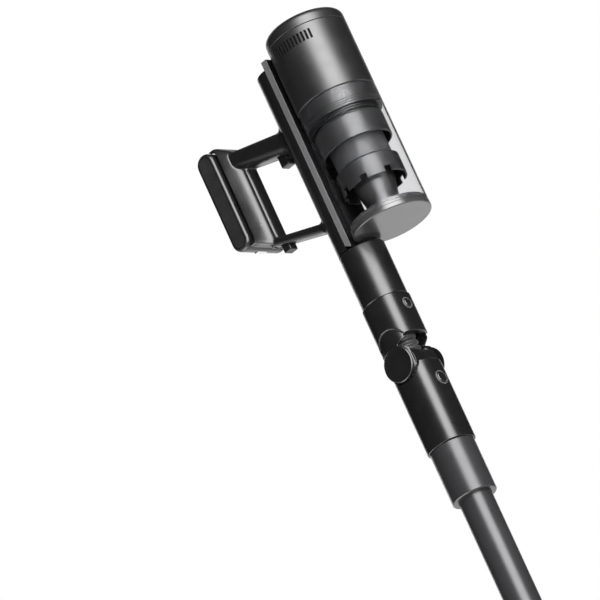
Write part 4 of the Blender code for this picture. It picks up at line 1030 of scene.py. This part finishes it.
# ------------------------------------------------------------------ handle
@dataclass
class Handle:
    """Two handle halves with a soft form, the trigger and its spring, and the pack's latch."""

    axis_y: float = 58.0
    spine_back: float = 87.3
    grip_half: float = 19.5
    wall: float = 2.6
    pack_mid: Flat = (190.0, 144.0)
    voxel: float = 0.85
    fillet: float = 9.0
    flare_end: float = 31.7
    post: Flat = (154.0, 171.0)
    grip_under: Point = (81.0, 151.0, 0.294)
    grip_over: Point = (88.0, 183.0, 0.25)
    brace_under: Point = (101.0, 44.6, 0.343)
    brace_over: Point = (101.0, 58.0, 0.3256)
    ends: Flat = (168.0, 169.0)
    brace_half: float = 12.0
    post_half: float = 11.0
    flare_low: Flat = (64.0, 12.0)
    flare_high: Flat = (196.0, 16.0)
    flare_half: Flat = (11.0, 27.0)
    pack_pocket: Flat = (54.0, 14.3)
    trigger_box: tuple[Point, Point] = ((-7, 96, 143.5), (7, 110, 166))
    latch_box: tuple[Point, Point] = ((-7, 146, 53), (7, 158, 68))
    spring_y: float = 103.0

    def build(self) -> None:
        """Build and dress the halves, the trigger, the spring and the latch."""
        whole = self.form(0)
        whole.cut(self.form(self.wall), *self.pockets())
        whole.softened(self.voxel, 7)
        for side in Side:
            half = whole.copy().trimmed((side.value * GAP / 2, 0, 0), (-side.value, 0, 0))
            half.trimmed((side.value * self.flare_end, 0, 0), (side.value, 0, 0))
            half.piece(f"handle_shell_{side.word}", SATIN_BLACK, "main", "satin_black",
                       (f"handle_{side.word}",), sharp=60)
        self.trigger()
        self.spring()
        self.latch()

    @staticmethod
    def line_at(line: Point, y: float) -> float:
        """Height at y of a straight edge given by a point on it and its slope."""
        return line[1] + line[2] * (y - line[0])

    def bar(self, under: Point, over: Point, end: float, half: float, inset: float) -> Shape:
        """A bar between two straight edges, from inside the spine to an end.

        Args:
            under: A point on its lower edge, and that edge's slope.
            over: A point on its upper edge, and that edge's slope.
            end: Where it ends on Y.
            half: Half its width.
            inset: How far inside the outer skin its surface lies.
        Returns:
            The bar, widening into the spine.
        """
        depth = self.spine_back - self.axis_y
        sections = []
        for offset in (-6, *(self.fillet * step / 8 for step in range(9)), None):
            share = 1 if offset is None else min(max(offset / self.fillet, 0), 1)
            grow = self.fillet * (1 - math.sqrt(1 - (1 - share) ** 2)) - inset
            wide = half + 0.3 * (grow + inset) - inset
            ring = []
            for across, along in squircle((0, 0), (1, 1), 3.2, 64):
                x = wide * across
                y = end if offset is None else self.axis_y + math.sqrt(depth ** 2 - x ** 2) + offset
                low, high = self.line_at(under, y) - grow, self.line_at(over, y) + grow
                ring.append((x, y, (low + high) / 2 + along * (high - low) / 2))
            sections.append(ring)
        return Shape.lofted(sections)

    def flare(self, inset: float) -> Shape:
        """Where the handle spreads to the battery.

        Args:
            inset: How far inside the outer skin its surface lies.
        Returns:
            The closed shape.
        """
        sections = []
        start, end = self.post[0] + 2.6, self.pack_mid[0]
        for index in range(25):
            y = start + (end - start) * index / 24
            spread = min((y - start) / 17, 1)
            half = self.flare_half[0] + self.flare_half[1] * spread ** 2 - inset
            low = self.flare_low[0] + self.flare_low[1] * spread + inset
            high = self.flare_high[0] + self.flare_high[1] * spread - inset
            line = squircle((0, (low + high) / 2), (half, (high - low) / 2), 9, 96)
            sections.append([(x, y, z) for x, z in line])
        return Shape.lofted(sections)

    def form(self, inset: float) -> Shape:
        """The handle's outside, or with an inset its hollow.

        Args:
            inset: How far inside the outer skin the surface lies.
        Returns:
            Grip, brace, post and flare in one body.
        """
        grip = self.bar(self.grip_under, self.grip_over, self.ends[0], self.grip_half, inset)
        brace = self.bar(self.brace_under, self.brace_over, self.ends[1], self.brace_half, inset)
        middle = sum(self.post) / 2
        half = (self.post_half - inset, (self.post[1] - self.post[0]) / 2 - inset)
        line = squircle((0, middle), half, 4, 48)
        low = self.line_at(self.brace_over, self.post[0]) - 8
        high = self.line_at(self.grip_under, self.post[0]) + 12
        return grip.joined(brace, Shape.plate(line, low, high), self.flare(inset))

    def pockets(self) -> list[Shape]:
        """Cutters for what the handle leaves room for, and for what lies past its two ends.

        Returns:
            The spine, the pack, the trigger, the latch, and the space behind and ahead.
        """
        y, z = self.pack_mid
        reach, radius = self.pack_pocket
        pack = Shape.plate(arc((y, z + reach), radius, 0, 180, 32)
                           + arc((y, z - reach), radius, 180, 360, 32), -FAR, FAR, Axis.X)
        spine = Shape.cylinder(self.spine_back - self.axis_y + GAP, -FAR, FAR, (0, self.axis_y, 0))
        trigger = Shape.block((-7.3, 95.7, 144.2), (7.3, 110.3, 178))
        latch = Shape.block((-7.3, 145.7, 38), (7.3, 158.3, 71))
        behind = Shape.block((-FAR, y - 8, -FAR), (FAR, FAR, FAR))
        ahead = Shape.block((-FAR, -FAR, -FAR), (FAR, self.axis_y + 2, FAR))
        return [spine, pack, trigger, latch, behind, ahead]

    def trigger(self) -> None:
        """A trigger with a hollowed front and a rounded tip."""
        body = Shape.block(*self.trigger_box).bevelled(2.4, 5)
        body.cut(Shape.cylinder(10, -FAR, FAR, (0, 87.6, 149), Axis.X, 64))
        body.piece("trigger_shell", SATIN_BLACK, "trigger_body", "satin_black", ("trigger",))

    def spring(self) -> None:
        """Wind the trigger's return spring as a mesh of its own."""
        low, high = 167.0, 182.1
        turns, per_turn, radius, wire = 6, 24, 4.0, 0.65
        centre = Vector((0, self.spring_y, 0))
        coil = Shape()
        ring = bmesh.ops.create_circle(coil.mesh, segments=10, radius=wire, cap_ends=False)["verts"]
        upright = Matrix.Translation(centre + Vector((radius, 0, low))) @ Matrix.Rotation(
            math.pi / 2, 4, "X")
        bmesh.ops.transform(coil.mesh, verts=ring, matrix=upright)
        rise = (high - low) / (turns * per_turn)
        start = list({edge for vert in ring for edge in vert.link_edges})
        made = bmesh.ops.spin(coil.mesh, geom=ring + start, cent=centre, axis=(0, 0, 1),
                              dvec=(0, 0, rise), angle=2 * math.pi * turns, steps=turns * per_turn)
        last = [item for item in made["geom_last"] if isinstance(item, bmesh.types.BMEdge)]
        bmesh.ops.edgeloop_fill(coil.mesh, edges=start)
        bmesh.ops.edgeloop_fill(coil.mesh, edges=last)
        bmesh.ops.recalc_face_normals(coil.mesh, faces=coil.mesh.faces)
        piece = coil.piece("return_spring", BRIGHT_STEEL, "main", "bright_steel",
                           ("trigger_spring",))
        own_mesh(piece)

    def latch(self) -> None:
        """The catch that frees the pack, with three finger ridges."""
        body = Shape.block(*self.latch_box).bevelled(1.5, 4)
        grooves = Shape()
        for index in range(3):
            y = 149.2 + 2.8 * index
            grooves.added(Shape.block((-9, y - 0.4, 50), (9, y + 0.4, 53.6)))
        body.cut(grooves)
        body.piece("pack_latch", SATIN_BLACK, "latch", "satin_black", ("battery_latch",))


# ------------------------------------------------------------------ battery
@dataclass
class Battery:
    """The pack's case, its round-edged end caps and their grained panels."""

    middle: Flat = (190.0, 144.0)
    round: float = 14.0
    reach: float = 53.6
    half: float = 38.0
    cap: float = 6.0
    edge: float = 5.0

    def outline(self, inset: float = 0.0) -> list[Flat]:
        """The pack's side outline, with round ends."""
        y, z = self.middle
        return (arc((y, z + self.reach), self.round - inset, 0, 180, 40)
                + arc((y, z - self.reach), self.round - inset, 180, 360, 40))

    def build(self) -> None:
        """Build and dress the case, the caps and the panels."""
        shell = self.half - self.cap - GAP
        case = Shape.plate(self.outline(), -shell, shell, Axis.X)
        inside = Shape.plate(self.outline(2.0), -FAR, FAR, Axis.X)
        low = self.middle[1] - self.reach - self.round
        socket = Shape.block((-9, 190.5, low - 4), (9, 197, low + 4))
        case.cut(inside, socket).bevelled(0.3, 2, 40)
        case.piece("pack_case", SATIN_BLACK, "main", "satin_black", ("battery_case",))
        for side in Side:
            ends = sorted((side.value * (self.half - self.cap), side.value * (self.half - 0.05)))
            lid = Shape.plate(self.outline(), ends[0], ends[1], Axis.X)
            lid.rounded_end(side.value, self.half - 0.05, self.edge)
            lid.piece(f"pack_end_{side.word}", SATIN_BLACK, "main", "satin_black",
                      (f"battery_cap_{side.word}",))
            face = sorted((side.value * (self.half - 0.3), side.value * self.half))
            panel = Shape.plate(self.outline(self.edge + 0.1), face[0], face[1], Axis.X)
            panel.piece(f"pack_panel_{side.word}", GRAINED_BLACK, "main", "satin_black")


# ------------------------------------------------------------------ wand
@dataclass
class Wand:
    """The inlet stub, the folding joint, its hose and buttons, and the lower tube."""

    axis_y: float = 58.0
    stub_radius: float = 29.3
    knee_half: float = 29.0
    squareness: float = 2.5
    pivot: float = -164.0
    cheek_radius: float = 23.455
    cheek_inner: float = 22.1
    knee_corner: float = 21.855
    cap_radius: float = 21.955
    tube_radius: float = 21.3
    collar_radius: float = 28.5
    voxel: float = 0.8
    stub_low: float = -78.0
    fork_bore: float = 20.5
    knee_bore: float = 17.5
    knee_low: float = -278.0
    pin_bore: float = 6.3
    ear_radius: float = 20.955
    ear_back: float = 21.555
    root_half: float = 18.955
    recess: tuple[float, float] = (-141.0, 22.9)
    tube: tuple[float, float] = (-290.0, -768.0)
    collar_low: float = -348.0
    buttons: tuple[tuple[str, str, str, float, float], ...] = field(default=(
        ("wand_button", "wand_button_body", "main", 5.75, -94.0),
        ("fold_button", "fold_button_body", "lower_wand", 7.5, -198.0)))

    def build(self) -> None:
        """Build and dress the wand from the stub down to the tube."""
        self.stub()
        self.fork()
        self.knee()
        for side in Side:
            self.hinge_cap(side)
        self.hose()
        for button in self.buttons:
            self.front_button(*button)
        self.lower()

    def axis_cylinder(self, radius: float, low: float = -FAR, high: float = FAR) -> Shape:
        """A round cutter down the wand."""
        return Shape.cylinder(radius, low, high, (0, self.axis_y, 0))

    def cross_cylinder(self, radius: float, half: float) -> Shape:
        """A round solid across the fold's pivot."""
        return Shape.cylinder(radius, -half, half, (0, self.axis_y, self.pivot), Axis.X)

    def button_hole(self, radius: float, height: float) -> Shape:
        """A cutter for a round button in the front."""
        return Shape.cylinder(radius, -FAR, 0, (0, self.axis_y - 3, height), Axis.Y, 64)

    def section(self, shrink: float = 0.0) -> list[Flat]:
        """The fold's outline across the wand."""
        half = self.knee_half - shrink
        return squircle((0, self.axis_y), (half, half), self.squareness, 120)

    def stub(self) -> None:
        """Turn the stub below the spine, with a round shoulder under the lid."""
        radius = self.stub_radius
        low = self.stub_low
        profile = [*arc((radius - 3, -6.3), 3, 90, 0, 8), (radius, low + 0.7), (radius - 0.7, low),
                   (21.5, low), (21.5, -3.3)]
        Shape.turned(profile, centre=(0, self.axis_y, 0)).piece(
            "stub_shell", SATIN_BLACK, "main", "satin_black", ("inlet_stub",))

    def fork(self) -> None:
        """Shape the fork: cheeks round the pivot, an opening in front and a side recess."""
        half = self.knee_half
        front, back = self.axis_y - 2 * half, self.axis_y + 2 * half
        rise = self.pivot + half + 3
        start = 180 - math.degrees(math.asin((self.knee_corner + 2 * GAP) / self.cheek_radius))
        side = [(front, rise), (self.axis_y - half - 0.5, rise)]
        side += arc((self.axis_y, self.pivot), self.cheek_radius, start, 360, 48)
        side += [(self.axis_y + self.cheek_radius, self.pivot + 14), (back, self.pivot + 14),
                 (back, FAR), (front, FAR)]
        body = Shape.plate(self.section(), self.pivot - self.cheek_radius - 2,
                           self.stub_low - GAP)
        body.met(Shape.plate(side, -FAR, FAR, Axis.X))
        slot = Shape.block((-self.cheek_inner, front, self.pivot - 2 * half),
                           (self.cheek_inner, self.axis_y + self.ear_back, rise + GAP))
        body.cut(self.axis_cylinder(self.fork_bore), slot,
                 self.cross_cylinder(self.pin_bore, FAR), self.button_hole(6.05, -94),
                 self.side_recess())
        body.softened(self.voxel, 2)
        body.piece("fold_fork_shell", SATIN_BLACK, "main", "satin_black", ("fold_fork",), sharp=65)

    def side_recess(self) -> Shape:
        """A shallow round-ended recess in both sides, from the pivot upwards.

        Returns:
            The cutter.
        """
        height, radius = self.recess
        outline = (arc((self.axis_y, height), radius, 0, 180, 40)
                   + arc((self.axis_y, self.pivot), radius, 180, 360, 40))
        ring = Shape.plate(outline, -FAR, FAR, Axis.X)
        return ring.cut(Shape.plate(self.section(1.5), -FAR, 0))

    def knee(self) -> None:
        """Shape the knee: two ears between the cheeks and the body below them."""
        half = self.knee_half
        reach = self.cheek_radius + 2 * GAP
        ear = self.cheek_inner - GAP
        body = Shape.plate(self.section(), self.knee_low, self.pivot + 14 - GAP)
        ahead = Shape.block((-FAR, self.axis_y - 2 * half, self.pivot - 7), (FAR, self.axis_y, 0))
        cheeks = arc((self.axis_y, self.pivot), reach, 180, 360, 64)
        cheeks += [(self.axis_y + reach, 0), (self.axis_y - reach, 0)]
        body.cut(ahead, Shape.plate(cheeks, -FAR, FAR, Axis.X))
        root = Shape.block(
            (-ear, self.axis_y - self.root_half, self.pivot - self.cheek_radius - 6),
            (ear, self.axis_y + self.root_half, self.pivot))
        body.joined(self.cross_cylinder(self.ear_radius, ear), root)
        body.cut(self.axis_cylinder(self.knee_bore), self.cross_cylinder(self.pin_bore, FAR),
                 self.button_hole(7.8, -198))
        body.softened(self.voxel, 2)
        body.piece("fold_knee_shell", SATIN_BLACK, "lower_wand", "satin_black", ("fold_knee",),
                   sharp=65)

    def hinge_cap(self, side: Side) -> None:
        """Turn the cap over the pivot, with a raised rim, a dished face and its pin.

        Args:
            side: The side it stands on.
        """
        inner = self.knee_half + GAP
        face = inner + 2.2
        radius = self.cap_radius
        profile = [(0, face - 0.9), (8, face - 0.85), (16, face - 0.6),
                   (radius - 2.6, face - 0.25), (radius - 2.2, face), (radius - 1.0, face),
                   (radius, face - 0.9), (radius, inner), (6, inner), (6, 18.3), (0, 18.3)]
        cap = Shape.turned(profile, axis=Axis.X, steps=96)
        cap.moved(Matrix.Translation((0, self.axis_y, self.pivot)) @ Matrix.Diagonal(
            (side.value, 1, 1, 1)))
        cap.piece(f"fold_cap_{side.word}", SATIN_BLACK, "main", "satin_black",
                  (f"hinge_cap_{side.word}",))

    def hose(self) -> None:
        """Turn the ribbed hose with soft folds."""
        root, crest, folds = 14.0, 16.5, 9
        top, low = -126.0, -200.0
        outer, inner = [], []
        steps = 12 * folds
        for step in range(steps + 1):
            height = top + (low - top) * step / steps
            wave = 0.5 - 0.5 * math.cos(2 * math.pi * folds * step / steps)
            swell = root + (crest - root) * wave
            outer.append((swell, height))
            inner.append((swell - 1, height))
        profile = [(20.2, -118), (20.2, top), *outer, (17.2, low - 0.01), (17.2, -208),
                   (13.3, -208), *reversed(inner), (13.3, -118)]
        hose = Shape.turned(profile, centre=(0, self.axis_y, 0), steps=96)
        piece = hose.piece("bellows_hose", SOFT_RUBBER, None, "soft_rubber", ("fold_hose",),
                           sharp=60)
        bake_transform(piece)

    def front_button(self, name: str, body: str, holder: str, radius: float, height: float) -> None:
        """Turn a round button and the light ring round it.

        Args:
            name: The CAD node it stands for.
            body: The body it rides on.
            holder: The body that holds the ring.
            radius: The button's radius.
            height: Its height in the cup's frame.
        """
        face = self.knee_half + 1.5
        profile = [(0, -face + 0.7), (radius * 0.55, -face + 0.55), (radius - 1.5, -face + 0.1),
                   (radius - 0.9, -face), (radius, -face + 0.8), (radius, 5.5 - face),
                   (0, 5.5 - face)]
        Shape.turned(profile, centre=(0, self.axis_y, height), axis=Axis.Y, steps=64).piece(
            name + "_shell", SATIN_BLACK, body, "satin_black", (name,))
        inner, lip = radius + GAP, self.knee_half + 0.5
        ring = [(inner, -lip + 0.3), (inner + 0.4, -lip), (inner + 1.3, -lip),
                (inner + 1.9, -lip + 0.8), (inner + 1.9, 3 - lip), (inner, 3 - lip)]
        Shape.turned(ring, centre=(0, self.axis_y, height), axis=Axis.Y, steps=64).piece(
            name + "_ring", RING_GREY, holder, "satin_black")

    def lower(self) -> None:
        """Turn the collar and the tube it holds."""
        radius, low, seam = self.collar_radius, self.collar_low, self.knee_low - GAP
        profile = [(radius - 0.6, seam), (radius, seam - 0.6), (radius, low + 1.2),
                   (radius - 1.2, low), (self.tube_radius + GAP, low),
                   (self.tube_radius + GAP, seam)]
        Shape.turned(profile, centre=(0, self.axis_y, 0)).piece(
            "collar_shell", TUBE_PAINT, "lower_wand", "satin_black", ("lower_collar",))
        tube, (top, foot) = self.tube_radius, self.tube
        wall = [(tube, top), (tube, foot), (tube - 1.2, foot), (tube - 1.2, top)]
        Shape.turned(wall, centre=(0, self.axis_y, 0)).piece(
            "tube_shell", TUBE_PAINT, "lower_wand", "painted_tube", ("lower_tube",))


# ------------------------------------------------------------------ floor head
@dataclass
class FloorHead:
    """The neck, the head's base and cover, its brush and its wheels."""

    floor: float = -880.0
    axis_y: float = 58.0
    half: float = 125.0
    front: float = -45.0
    back: float = 76.0
    corner: float = 14.0
    brush: Point = (0.0, -18.0, -858.0)
    brush_half: float = 109.0

    def build(self) -> None:
        """Build and dress the neck, the head, the brush and the wheels."""
        self.neck()
        self.base()
        self.cover()
        self.brush_roller()
        self.end_plug()
        for side in Side:
            self.wheel(side)

    def neck(self) -> None:
        """Turn the neck's socket, and soften the yoke below it."""
        profile = [(24.2, -730), (25, -730.8), (25, -788.7), (24, -789.7), (21.6, -789.7),
                   (21.6, -730)]
        Shape.turned(profile, centre=(0, self.axis_y, 0)).piece(
            "socket_shell", SATIN_BLACK, "lower_wand", "satin_black", ("neck_socket",))
        Shape.copied("neck_yoke").softened(0.7, 3).piece(
            "yoke_shell", SATIN_BLACK, "neck", "satin_black", ("neck_yoke",), sharp=60)

    def base(self) -> None:
        """Ease the edges of the head's base."""
        Shape.copied("head_base").softened(1.15, 2).piece(
            "head_base_shell", SATIN_BLACK, "floor_head", "satin_black", ("head_base",), sharp=60)

    def cover(self) -> None:
        """Soften the edges of the head's cover."""
        Shape.copied("head_cover").softened(1.15, 5).piece(
            "head_cover_shell", CHARCOAL, "floor_head", "satin_black", ("head_cover",), sharp=70)

    def brush_roller(self) -> None:
        """Twist rows of bristles round the roller's core."""
        centre = Vector(self.brush)
        reach = self.brush_half
        core = [(0, -reach - 7), (4, -reach - 7), (4, -reach), (13, -reach), (13, reach),
                (4, reach), (4, reach + 7.3), (0, reach + 7.3)]
        roller = Shape.turned(core, centre=self.brush, axis=Axis.X, steps=64)
        rows, steps = 8, 48
        for row in range(rows):
            sections = []
            for step in range(steps + 1):
                share = step / steps
                x = -reach + 2 * reach * share
                angle = 2 * math.pi * row / rows + math.radians(150) * abs(2 * share - 1)
                turn = Matrix.Rotation(angle, 4, "X")
                flat = [(-1.6, 12.5), (1.6, 12.5), (1.1, 19), (-1.1, 19)]
                sections.append([tuple(centre + turn @ Vector((0, v, w)) + Vector((x, 0, 0)))
                                 for v, w in flat])
            roller.added(Shape.lofted(sections))
        roller.piece("bristle_roller", FIBRE, "brush", "brush_fibre", ("brush_roller",))

    def end_plug(self) -> None:
        """Ease the edges of the brush's end plug, and slot its face."""
        plug = Shape.copied("brush_end_plug").bevelled(0.4, 2, 50)
        plug.cut(Shape.block((125.3, -26, self.brush[2] - 0.9), (130, -10, self.brush[2] + 0.9)))
        plug.piece("end_plug_shell", SATIN_BLACK, "floor_head", "satin_black", ("brush_end_plug",))

    def wheel(self, side: Side) -> None:
        """Turn a wheel with a round tyre, a dished hub and its axle.

        Args:
            side: The side it stands on.
        """
        centre = (side.value * 95.0, self.axis_y, self.floor + 14)
        profile = [(0, 12), (2.5, 12), (2.5, 4.4), (8.4, 4.8), (9, 6), *arc((12, 4), 2, 90, 0, 5),
                   *arc((12, -4), 2, 0, -90, 5), (9, -6), (8.4, -4.8), (2.5, -4.4), (2.5, -12),
                   (0, -12)]
        Shape.turned(profile, centre=centre, axis=Axis.X, steps=64).piece(
            f"tyre_{side.word}", SOFT_RUBBER, f"{side.word}_wheel", "soft_rubber",
            (f"wheel_{side.word}",))


# ------------------------------------------------------------------ inner parts
@dataclass
class InnerParts:
    """CAD nodes that keep their own shape and get a finish."""

    finishes: dict[str, Finish] = field(default_factory=lambda: {
        "satin_black": SATIN_BLACK, "housing_charcoal": CHARCOAL, "frame_grey": RAIL_GREY,
        "smoky_clear": CLEAR, "cyclone_black": CYCLONE_BLACK, "mesh_steel": MESH_STEEL,
        "soft_rubber": SOFT_RUBBER, "filter_foam": FOAM, "filter_paper": PAPER,
        "bright_steel": BRIGHT_STEEL, "motor_copper": COPPER, "board_green": BOARD,
        "cell_sleeve": CELL_SLEEVE, "painted_tube": TUBE_PAINT, "brush_fibre": FIBRE})

    def dress(self) -> None:
        """Give every shown CAD node the finish of its own slot."""
        for name, node in sorted(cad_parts.items()):
            if node.hide_render:
                continue
            for slot in node.material_slots:
                slot_name = slot.material.name.split(".")[0] if slot.material else "satin_black"
                if slot_name in self.finishes:
                    slot.material = self.finishes[slot_name].build()
            log.info("%s: dressed", name)


# ------------------------------------------------------------------ studio
@dataclass
class Softbox:
    """A bright panel that faces the cleaner, fading out at its edges."""

    name: str
    azimuth: float
    distance: float
    middle: float
    half_width: float
    half_height: float
    strength: float
    fade: float = 0.5
    lights_inside: bool = False
    aimed: bool = False

    def build(self, target: Vector) -> None:
        """Stand the panel round a target.

        Args:
            target: The point it faces.
        """
        mesh = bmesh.new()
        bmesh.ops.create_grid(mesh, x_segments=1, y_segments=1, size=1)
        bmesh.ops.scale(mesh, vec=(self.half_width, self.half_height, 1), verts=mesh.verts)
        data = bpy.data.meshes.new(self.name)
        mesh.to_mesh(data)
        mesh.free()
        panel = linked(self.name, data)
        angle = math.radians(self.azimuth)
        away = Vector((math.sin(angle), -math.cos(angle), 0))
        panel.location = Vector((target.x, target.y, 0)) + away * self.distance + Vector(
            (0, 0, self.middle))
        facing = panel.location - target if self.aimed else away
        panel.rotation_euler = facing.to_track_quat("-Z", "Y").to_euler()
        panel.visible_camera = False
        panel.visible_transmission = self.lights_inside
        data.materials.append(self.glow())

    def glow(self) -> bpy.types.Material:
        """Light that fades towards the panel's sides.

        Returns:
            The material.
        """
        material = bpy.data.materials.new(self.name)
        material.use_nodes = True
        tree = material.node_tree
        tree.nodes.clear()
        output = add_node(tree, "ShaderNodeOutputMaterial")
        light = add_node(tree, "ShaderNodeEmission")
        where = add_node(tree, "ShaderNodeTexCoord")
        split = add_node(tree, "ShaderNodeSeparateXYZ")
        size = add_node(tree, "ShaderNodeMath", operation="ABSOLUTE")
        fall = add_node(tree, "ShaderNodeMapRange",
                        {"From Min": self.half_width * (1 - self.fade),
                         "From Max": self.half_width, "To Min": self.strength, "To Max": 0.0},
                        interpolation_type="SMOOTHSTEP")
        tree.links.new(where.outputs["Object"], split.inputs["Vector"])
        tree.links.new(split.outputs["X"], size.inputs[0])
        tree.links.new(size.outputs["Value"], fall.inputs["Value"])
        tree.links.new(fall.outputs["Result"], light.inputs["Strength"])
        tree.links.new(light.outputs["Emission"], output.inputs["Surface"])
        return material


@dataclass
class Studio:
    """A pale floor, soft light all round, tall softboxes and the camera."""

    azimuth: float = -55.0
    elevation: float = -20.0
    lean: float = -24.5
    distance: float = 9.9
    width_in_view: float = 0.72
    sensor: float = 36.0
    offset: Flat = (-0.1114, -0.0925)
    floor_height: float = -7.5
    floor_half: float = 45.0
    ambient: float = 0.03
    floor_light: float = 3.4
    softboxes: tuple[Softbox, ...] = field(default_factory=lambda: (
        Softbox("key_panel", -35, 3.0, 1.0, 1.95, 3.0, 13.0, 0.6, True),
        Softbox("right_edge_panel", 108, 3.0, 1.0, 0.5, 2.6, 1.5, 0.5),
        Softbox("left_edge_panel", 150, 3.0, 1.0, 0.6, 2.6, 2.2, 0.5),
        Softbox("under_panel", 125, 4.0, -1.0, 2.6, 1.35, 1.5, 0.3),
        Softbox("low_panel", -170, 0.8, -1.75, 1.1, 0.8, 6.0, 0.4, False, True)))

    def build(self) -> None:
        """Set up the sky, the floor, the softboxes and the camera."""
        bpy.context.scene.view_settings.view_transform = "Standard"
        self.sky()
        self.floor()
        self.ceiling()
        for softbox in self.softboxes:
            softbox.build(CUP_ORIGIN)
        self.camera()

    def sky(self) -> None:
        """White behind the cleaner, and dim as light so that the softboxes shape the gloss."""
        world = bpy.data.worlds.new("studio")
        bpy.context.scene.world = world
        world.use_nodes = True
        tree = world.node_tree
        white = tree.nodes["Background"]
        set_inputs(white, {"Color": (1, 1, 1, 1), "Strength": 1.0})
        dim = add_node(tree, "ShaderNodeBackground",
                       {"Color": (1, 1, 1, 1), "Strength": self.ambient})
        path = add_node(tree, "ShaderNodeLightPath")
        bounced = add_node(tree, "ShaderNodeMath", operation="ADD")
        straight = add_node(tree, "ShaderNodeMath", {1: 0.5}, operation="LESS_THAN")
        through = add_node(tree, "ShaderNodeMath", operation="MULTIPLY")
        seen = add_node(tree, "ShaderNodeMath", operation="MAXIMUM")
        tree.links.new(path.outputs["Diffuse Depth"], bounced.inputs[0])
        tree.links.new(path.outputs["Glossy Depth"], bounced.inputs[1])
        tree.links.new(bounced.outputs["Value"], straight.inputs[0])
        tree.links.new(straight.outputs["Value"], through.inputs[0])
        tree.links.new(path.outputs["Is Transmission Ray"], through.inputs[1])
        choose = add_node(tree, "ShaderNodeMixShader")
        tree.links.new(path.outputs["Is Camera Ray"], seen.inputs[0])
        tree.links.new(through.outputs["Value"], seen.inputs[1])
        tree.links.new(seen.outputs["Value"], choose.inputs["Fac"])
        tree.links.new(dim.outputs["Background"], choose.inputs[1])
        tree.links.new(white.outputs["Background"], choose.inputs[2])
        tree.links.new(choose.outputs["Shader"], tree.nodes["World Output"].inputs["Surface"])

    def floor(self) -> None:
        """Lay a wide pale floor below the cleaner."""
        mesh = bmesh.new()
        bmesh.ops.create_grid(mesh, x_segments=8, y_segments=8, size=self.floor_half)
        bmesh.ops.translate(mesh, verts=mesh.verts, vec=(0, 0, self.floor_height))
        data = bpy.data.meshes.new("pale_floor")
        mesh.to_mesh(data)
        mesh.free()
        floor = linked("pale_floor", data)
        paint = Finish("pale_floor", (0.82, 0.82, 0.82), 0.01, (0.6, 0.7), cloud_size=0.8)
        data.materials.append(paint.build())

    def ceiling(self) -> None:
        """Light the floor evenly from straight above, without a mark in any gloss."""
        data = bpy.data.lights.new("floor_lamp", "SUN")
        data.energy = self.floor_light
        data.angle = math.radians(40)
        linked("floor_lamp", data).visible_glossy = False

    def camera(self) -> None:
        """Stand the camera low in front on the left, leaning with the view."""
        azimuth, elevation = math.radians(self.azimuth), math.radians(self.elevation)
        back = Vector((math.sin(azimuth) * math.cos(elevation),
                       -math.cos(azimuth) * math.cos(elevation), math.sin(elevation)))
        level = Vector((math.cos(azimuth), math.sin(azimuth), 0))
        upright = back.cross(level)
        lean = math.radians(self.lean)
        right = math.cos(lean) * level + math.sin(lean) * upright
        up = -math.sin(lean) * level + math.cos(lean) * upright
        aim = CUP_ORIGIN + self.offset[0] * right + self.offset[1] * up
        data = bpy.data.cameras.new("camera")
        data.sensor_width = self.sensor
        data.lens = self.sensor * self.distance / self.width_in_view
        data.clip_end = 120
        camera = linked("camera", data)
        place = Matrix((right, up, back)).transposed().to_4x4()
        place.translation = aim + back * self.distance
        camera.matrix_world = place
        bpy.context.scene.camera = camera


def main() -> None:
    """Build each sub-assembly in order, dress the rest and light it."""
    logging.basicConfig(level=logging.INFO, format="%(name)s: %(message)s")
    for assembly in (Barrel(), DustCup(), Spine(), Handle(), Battery(), Wand(), FloorHead()):
        log.info("building %s", type(assembly).__name__)
        assembly.build()
    InnerParts().dress()
    Studio().build()


if __name__ == "__main__":
    main()
